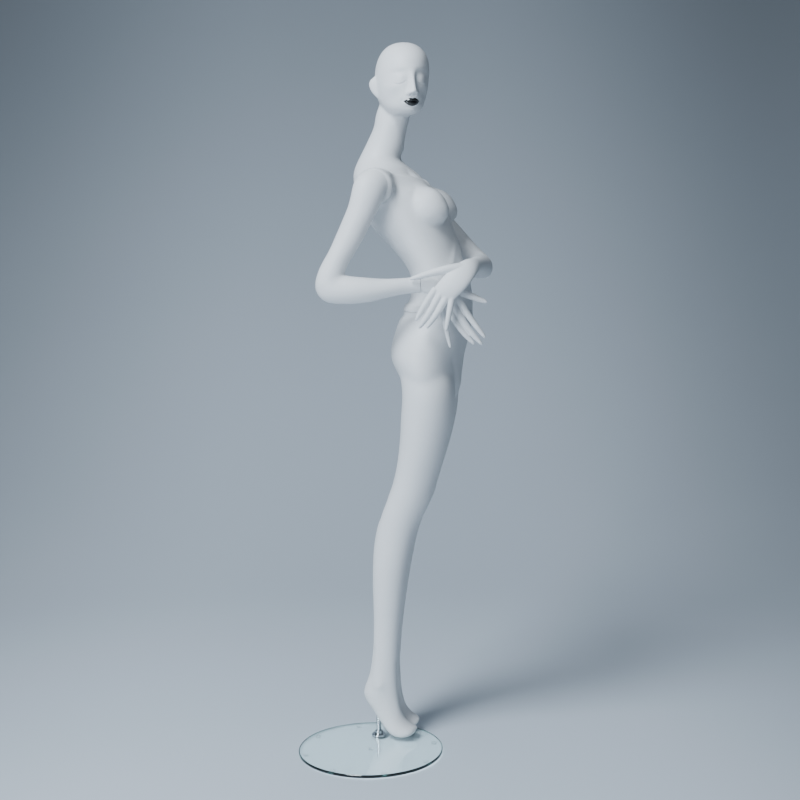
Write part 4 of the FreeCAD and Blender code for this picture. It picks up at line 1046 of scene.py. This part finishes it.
def make_arm(name, rings, wrist_normal):
    """An arm, open at the shoulder and the wrist until both seams are turned in."""
    bm = bmesh.new()
    skin(bm, rings, 3.5 * MM, 84, closed=False)
    bmesh.ops.recalc_face_normals(bm, faces=bm.faces)
    if sum(f.normal.dot(f.calc_center_median() - rings[5].centre) for f in bm.faces
           if (f.calc_center_median() - rings[5].centre).length < 60 * MM) < 0:
        bmesh.ops.reverse_faces(bm, faces=bm.faces)
    for face in bm.faces:
        face.smooth = True
    shape(bm, [], True, rounds=ARM_ROUNDS[name])
    side = -1 if name == "right" else 1
    first, last = rings[0].centre, rings[-1].centre
    close_seam(bm, (-side, 0, 0), lambda place: abs(place.x - first.x) < 1 * MM)
    near_wrist = within(last, 40 * MM)
    close_seam(bm, wrist_normal, lambda place: near_wrist(place) and
               abs((place - last).dot(wrist_normal)) < 0.2 * MM)
    white_piece(bm, name + "_arm", name + "_arm", name + "_arm_shell", LACQUER)


WRIST_NORMAL = {"right": Vector((0, -1, 0)), "left": Vector((-1, 0, 0))}
ARM_RINGS = {"right": right_arm_rings(), "left": left_arm_rings()}
for arm in ("right", "left"):
    make_arm(arm, ARM_RINGS[arm], WRIST_NORMAL[arm])

# ---------------------------------------------------------------- hands
PALM = {  # thumb-side point, little-finger-side point, half thickness
    "right": [
        ((-154, -156, 1250), (-154, -156, 1211), 17.5), ((-152, -172, 1250), (-153, -166, 1209), 16.5),
        ((-150, -203, 1243), (-151, -178, 1201), 15.5), ((-149, -234, 1222), (-151, -190, 1188), 14),
        ((-149, -255, 1194), (-151, -200, 1168), 11), ((-149, -259, 1183), (-151, -203, 1160), 6),
    ],
    "left": [
        ((-124, -266.8, 1289.2), (-124, -294.4, 1261.6), 17), ((-140, -264, 1290), (-140, -295, 1259.5), 16),
        ((-158, -251, 1284), (-163, -293, 1252), 14.5), ((-178, -231, 1266), (-184, -281, 1234), 13.5),
        ((-188, -208, 1243), (-191, -264, 1213), 12.5), ((-190, -186, 1214), (-192, -244, 1197), 10.5),
        ((-190, -184, 1205), (-192, -240, 1188), 5),
    ],
}
FINGERS = {
    "right": {
        "index": ((-149, -247, 1193), (-150, -272, 1153), (-148, -293, 1123), (-144, -313, 1097)),
        "middle": ((-150, -234, 1183), (-152, -259, 1138), (-149, -281, 1106), (-144, -305, 1080)),
        "ring": ((-151, -219, 1178), (-153, -243, 1133), (-150, -264, 1103), (-146, -286, 1081)),
        "little": ((-152, -207, 1176), (-155, -213, 1138), (-153, -219, 1106), (-150, -226, 1073)),
        "thumb": ((-149, -196, 1228), (-144, -245, 1213), (-140, -284, 1199), (-137, -317, 1184)),
    },
    "left": {
        "index": ((-190, -193, 1215), (-191, -171, 1183), (-188, -157, 1162), (-185, -146, 1143)),
        "middle": ((-191, -208, 1207), (-192, -185, 1168), (-189, -168, 1143), (-185, -154, 1124)),
        "ring": ((-191, -224, 1202), (-192, -205, 1168), (-189, -188, 1145), (-186, -173, 1124)),
        "little": ((-190, -238, 1202), (-192, -231, 1165), (-190, -226, 1140), (-187, -221, 1117)),
        "thumb": ((-165, -254, 1271), (-181, -221, 1268), (-186, -180, 1259), (-185, -132, 1245)),
    },
}
FINGER_RADII = {
    "index": (9.6, 8.4, 7.2, 4.9), "middle": (9.9, 8.6, 7.3, 4.9), "ring": (9.5, 8.2, 7.0, 4.7),
    "little": (8.4, 7.2, 6.2, 4.2), "thumb": (14.0, 11.0, 8.8, 5.6),
}


def hand_shift(name):
    """How far a hand stands off its stations: the gaps of both its seams."""
    return ARM_GAP[name] + WRIST_NORMAL[name] * SEAM_GAP


def palm_rings(name):
    """Stations of a palm, from a little behind the wrist seam."""
    edges = [(at(*first, True), at(*second, True)) for first, second, half in PALM[name]]
    centres = [(first + second) / 2 for first, second in edges]
    rings = []
    for step, ((first, second), row) in enumerate(zip(edges, PALM[name])):
        run = WRIST_NORMAL[name]
        if step:
            run = centres[min(step + 1, len(centres) - 1)] - centres[step - 1]
        half = (first - second) / 2
        thick = run.cross(half).normalized() * (row[2] * MM)
        rings.append(Ring(centres[step] + hand_shift(name), half, thick))
    seam = rings[0]
    behind = Ring(seam.centre - WRIST_NORMAL[name] * (8 * MM), seam.across, seam.along)
    return [behind] + rings


def finger_rings(name, points, radii):
    """Stations of a finger, rooted inside the palm and rounded at its tip."""
    joints = [at(*point, True) + hand_shift(name) for point in points]
    root = joints[0] + (joints[0] - joints[1]).normalized() * (9 * MM)
    end = (joints[3] - joints[2]).normalized()
    path = [root, joints[0], (joints[0] + joints[1]) / 2, joints[1], joints[2]]
    path += [joints[3] - end * (radii[3] * 0.7 * MM), joints[3]]
    middle = (radii[0] + radii[1]) / 2.0
    sizes = [radii[0] * 0.8, radii[0], middle, radii[1], radii[2], radii[3], radii[3] * 0.35]
    rings = []
    for step, (centre, radius) in enumerate(zip(path, sizes)):
        run = (path[min(step + 1, len(path) - 1)] - path[max(step - 1, 0)]).normalized()
        across = Vector((1, 0, 0)) - run * run.x
        across.normalize()
        rings.append(Ring(centre, across * (radius * MM), run.cross(across) * (radius * 0.95 * MM)))
    return rings


NAIL_RISE = 0.55


def nails_and_knuckles(bm, name):
    """Nails stand a little out of the finger ends, and the knuckles swell."""
    palm = [(Vector(first) + Vector(second)) / 2 for first, second, _ in PALM[name]]
    across_palm = Vector(PALM[name][2][0]) - Vector(PALM[name][2][1])
    back = (palm[3] - palm[1]).cross(across_palm).normalized()
    back = back if back.x < 0 else -back
    points, normals = stations(bm, True)
    rise = np.zeros(len(points))
    offset = np.array(hand_shift(name)) / MM
    for finger, joints in FINGERS[name].items():
        tip, before = Vector(joints[3]), Vector(joints[2])
        run = (tip - before).normalized()
        outwards = (back - run * back.dot(run)).normalized()
        if finger == "thumb":
            outwards = run.cross(back).normalized()
            outwards = outwards if outwards.z > 0 else -outwards
        beside = run.cross(outwards)
        radius = FINGER_RADII[finger][3]
        gap = points - (np.array(tip - run * (radius * 1.1)) + offset)
        along, over = gap @ np.array(run), gap @ np.array(beside)
        plate = eased((radius * 1.25 - np.abs(along)) / 1.2) * eased((radius * 0.8 - np.abs(over)) / 1.2)
        near_tip = np.linalg.norm(gap, axis=1) < radius * 2.2
        rise += NAIL_RISE * plate * (normals @ np.array(outwards) > 0.2) * near_tip
        for joint in joints[1:3]:
            knuckle = Vector(joint) + outwards * (radius * 0.9)
            rise += mound(points, np.array(knuckle) + offset, (6, 6, 6), 0.5)
    push_out(bm, normals, rise)


def make_hand(name):
    """A hand: palm and fingers under one skin, knuckles and nails, and a seam at the wrist."""
    bm = bmesh.new()
    skin(bm, palm_rings(name), 3 * MM, 40)
    for finger, points in FINGERS[name].items():
        skin(bm, finger_rings(name, points, FINGER_RADII[finger]), 3 * MM, 24)
    bm = welded(bm, 1.3 * MM)
    soften(bm, bm.verts, 4)
    bm.normal_update()
    for vert in bm.verts:
        vert.co += vert.normal * (0.5 * MM)
    nails_and_knuckles(bm, name)
    seam = palm_rings(name)[1]
    settle(bm, seam, 9 * MM)
    out_of_hand = -WRIST_NORMAL[name]
    cut_back(bm, seam.centre, out_of_hand)
    close_seam(bm, out_of_hand, lambda place: abs((place - seam.centre).dot(out_of_hand)) < 0.6 * MM)
    white_piece(bm, name + "_hand_casting", name + "_hand", name + "_hand", LACQUER)


for hand in ("right", "left"):
    make_hand(hand)


# ---------------------------------------------------------------- floor, backdrop and light
ACROSS_VIEW = (0.208, -0.978, 0.0)           # level direction across the camera's view


def make_studio():
    """Pale floor that rises all round into a soft backdrop, with painted shade that darkens it upwards and to both
    sides.
    """
    middle_x, middle_y, radius, bend, height = -2.3, -0.5, 4.0, 3.4, 7.0
    bm = bmesh.new()
    verts = bmesh.ops.create_circle(bm, segments=160, radius=radius)["verts"]
    edges = edges_among(verts)
    bmesh.ops.contextual_create(bm, geom=edges)
    steps = [math.pi / 2 * k / 20 for k in range(1, 21)]
    profile = [(radius + bend * math.sin(a), bend * (1 - math.cos(a))) for a in steps]
    profile.append((radius + bend, height))
    for reach, rise in profile:
        fresh = grow(bm, edges)
        for vert in fresh:
            level = Vector((vert.co.x, vert.co.y, 0)).normalized() * reach
            vert.co = (level.x, level.y, rise)
        edges = edges_among(fresh)
    for face in bm.faces:
        face.smooth = True
    mesh = bpy.data.meshes.new("studio")
    bm.to_mesh(mesh)
    bm.free()
    studio = to_scene("studio", mesh)
    studio.location = (middle_x, middle_y, -0.0005)
    material, tree, shader = new_material("studio_paper")
    mottling = grain(tree, 40.0, 10.0, 0.6)[1]
    colour = ramp(tree, mottling, [(0.3, (0.62, 0.69, 0.77)), (0.7, (0.64, 0.71, 0.79))])
    place = object_coordinates(tree)
    above = node(tree, "ShaderNodeSeparateXYZ", place).outputs["Z"]
    aside = node(tree, "ShaderNodeVectorMath", place, ACROSS_VIEW, setting=("operation", "DOT_PRODUCT"))
    far = node(tree, "ShaderNodeMath", aside.outputs["Value"], setting=("operation", "ABSOLUTE"))
    # painted shade: the paper's colour darkens upwards and towards both sides of the view, standing in for the
    # fall-off of the light
    painted_shade_up = spread(tree, above, 1.0, 0.5, 0.0, 3.6, smooth=True)
    painted_shade_aside = spread(tree, far.outputs["Value"], 1.0, 0.5, 0.5, 2.4, smooth=True)
    share = node(tree, "ShaderNodeMath", painted_shade_up, painted_shade_aside, setting=("operation", "MULTIPLY"))
    painted_shade_colour = node(tree, "ShaderNodeVectorMath", colour, setting=("operation", "SCALE"),
                  Scale=share.outputs["Value"])
    feed(tree, shader, Base_Color=painted_shade_colour.outputs["Vector"], Roughness=0.9)
    mesh.materials.append(material)


def soft_box(name, azimuth, elevation, distance, size, power, colour):
    """Round soft box that looks at the figure's chest."""
    light = bpy.data.lights.new(name, "AREA")
    light.shape = "DISK"
    light.size = size
    light.energy = power
    light.color = colour
    lamp = to_scene(name, light)
    a, e = math.radians(azimuth), math.radians(elevation)
    place = Vector((math.sin(a) * math.cos(e), -math.cos(a) * math.cos(e), math.sin(e))) * distance
    aim = Vector((0, 0, 1.1))
    lamp.location = aim + place
    lamp.rotation_euler = place.to_track_quat("Z", "Y").to_euler()


make_studio()
soft_box("key_light", -119.0, 52.0, 4.2, 1.6, 185.0, (0.83, 0.92, 1.0))
soft_box("front_light", -112.0, 14.0, 5.2, 2.4, 205.0, (0.83, 0.92, 1.0))
soft_box("fill_light", -75.0, 20.0, 5.0, 3.0, 12.0, (0.88, 0.94, 1.0))
soft_box("top_light", 60.0, 84.0, 4.2, 3.0, 24.0, (0.85, 0.93, 1.0))
world = bpy.data.worlds.new("studio_air")
world.use_nodes = True
feed(world.node_tree, world.node_tree.nodes["Background"], Color=(0.72, 0.80, 0.9, 1.0), Strength=0.20)
bpy.context.scene.world = world
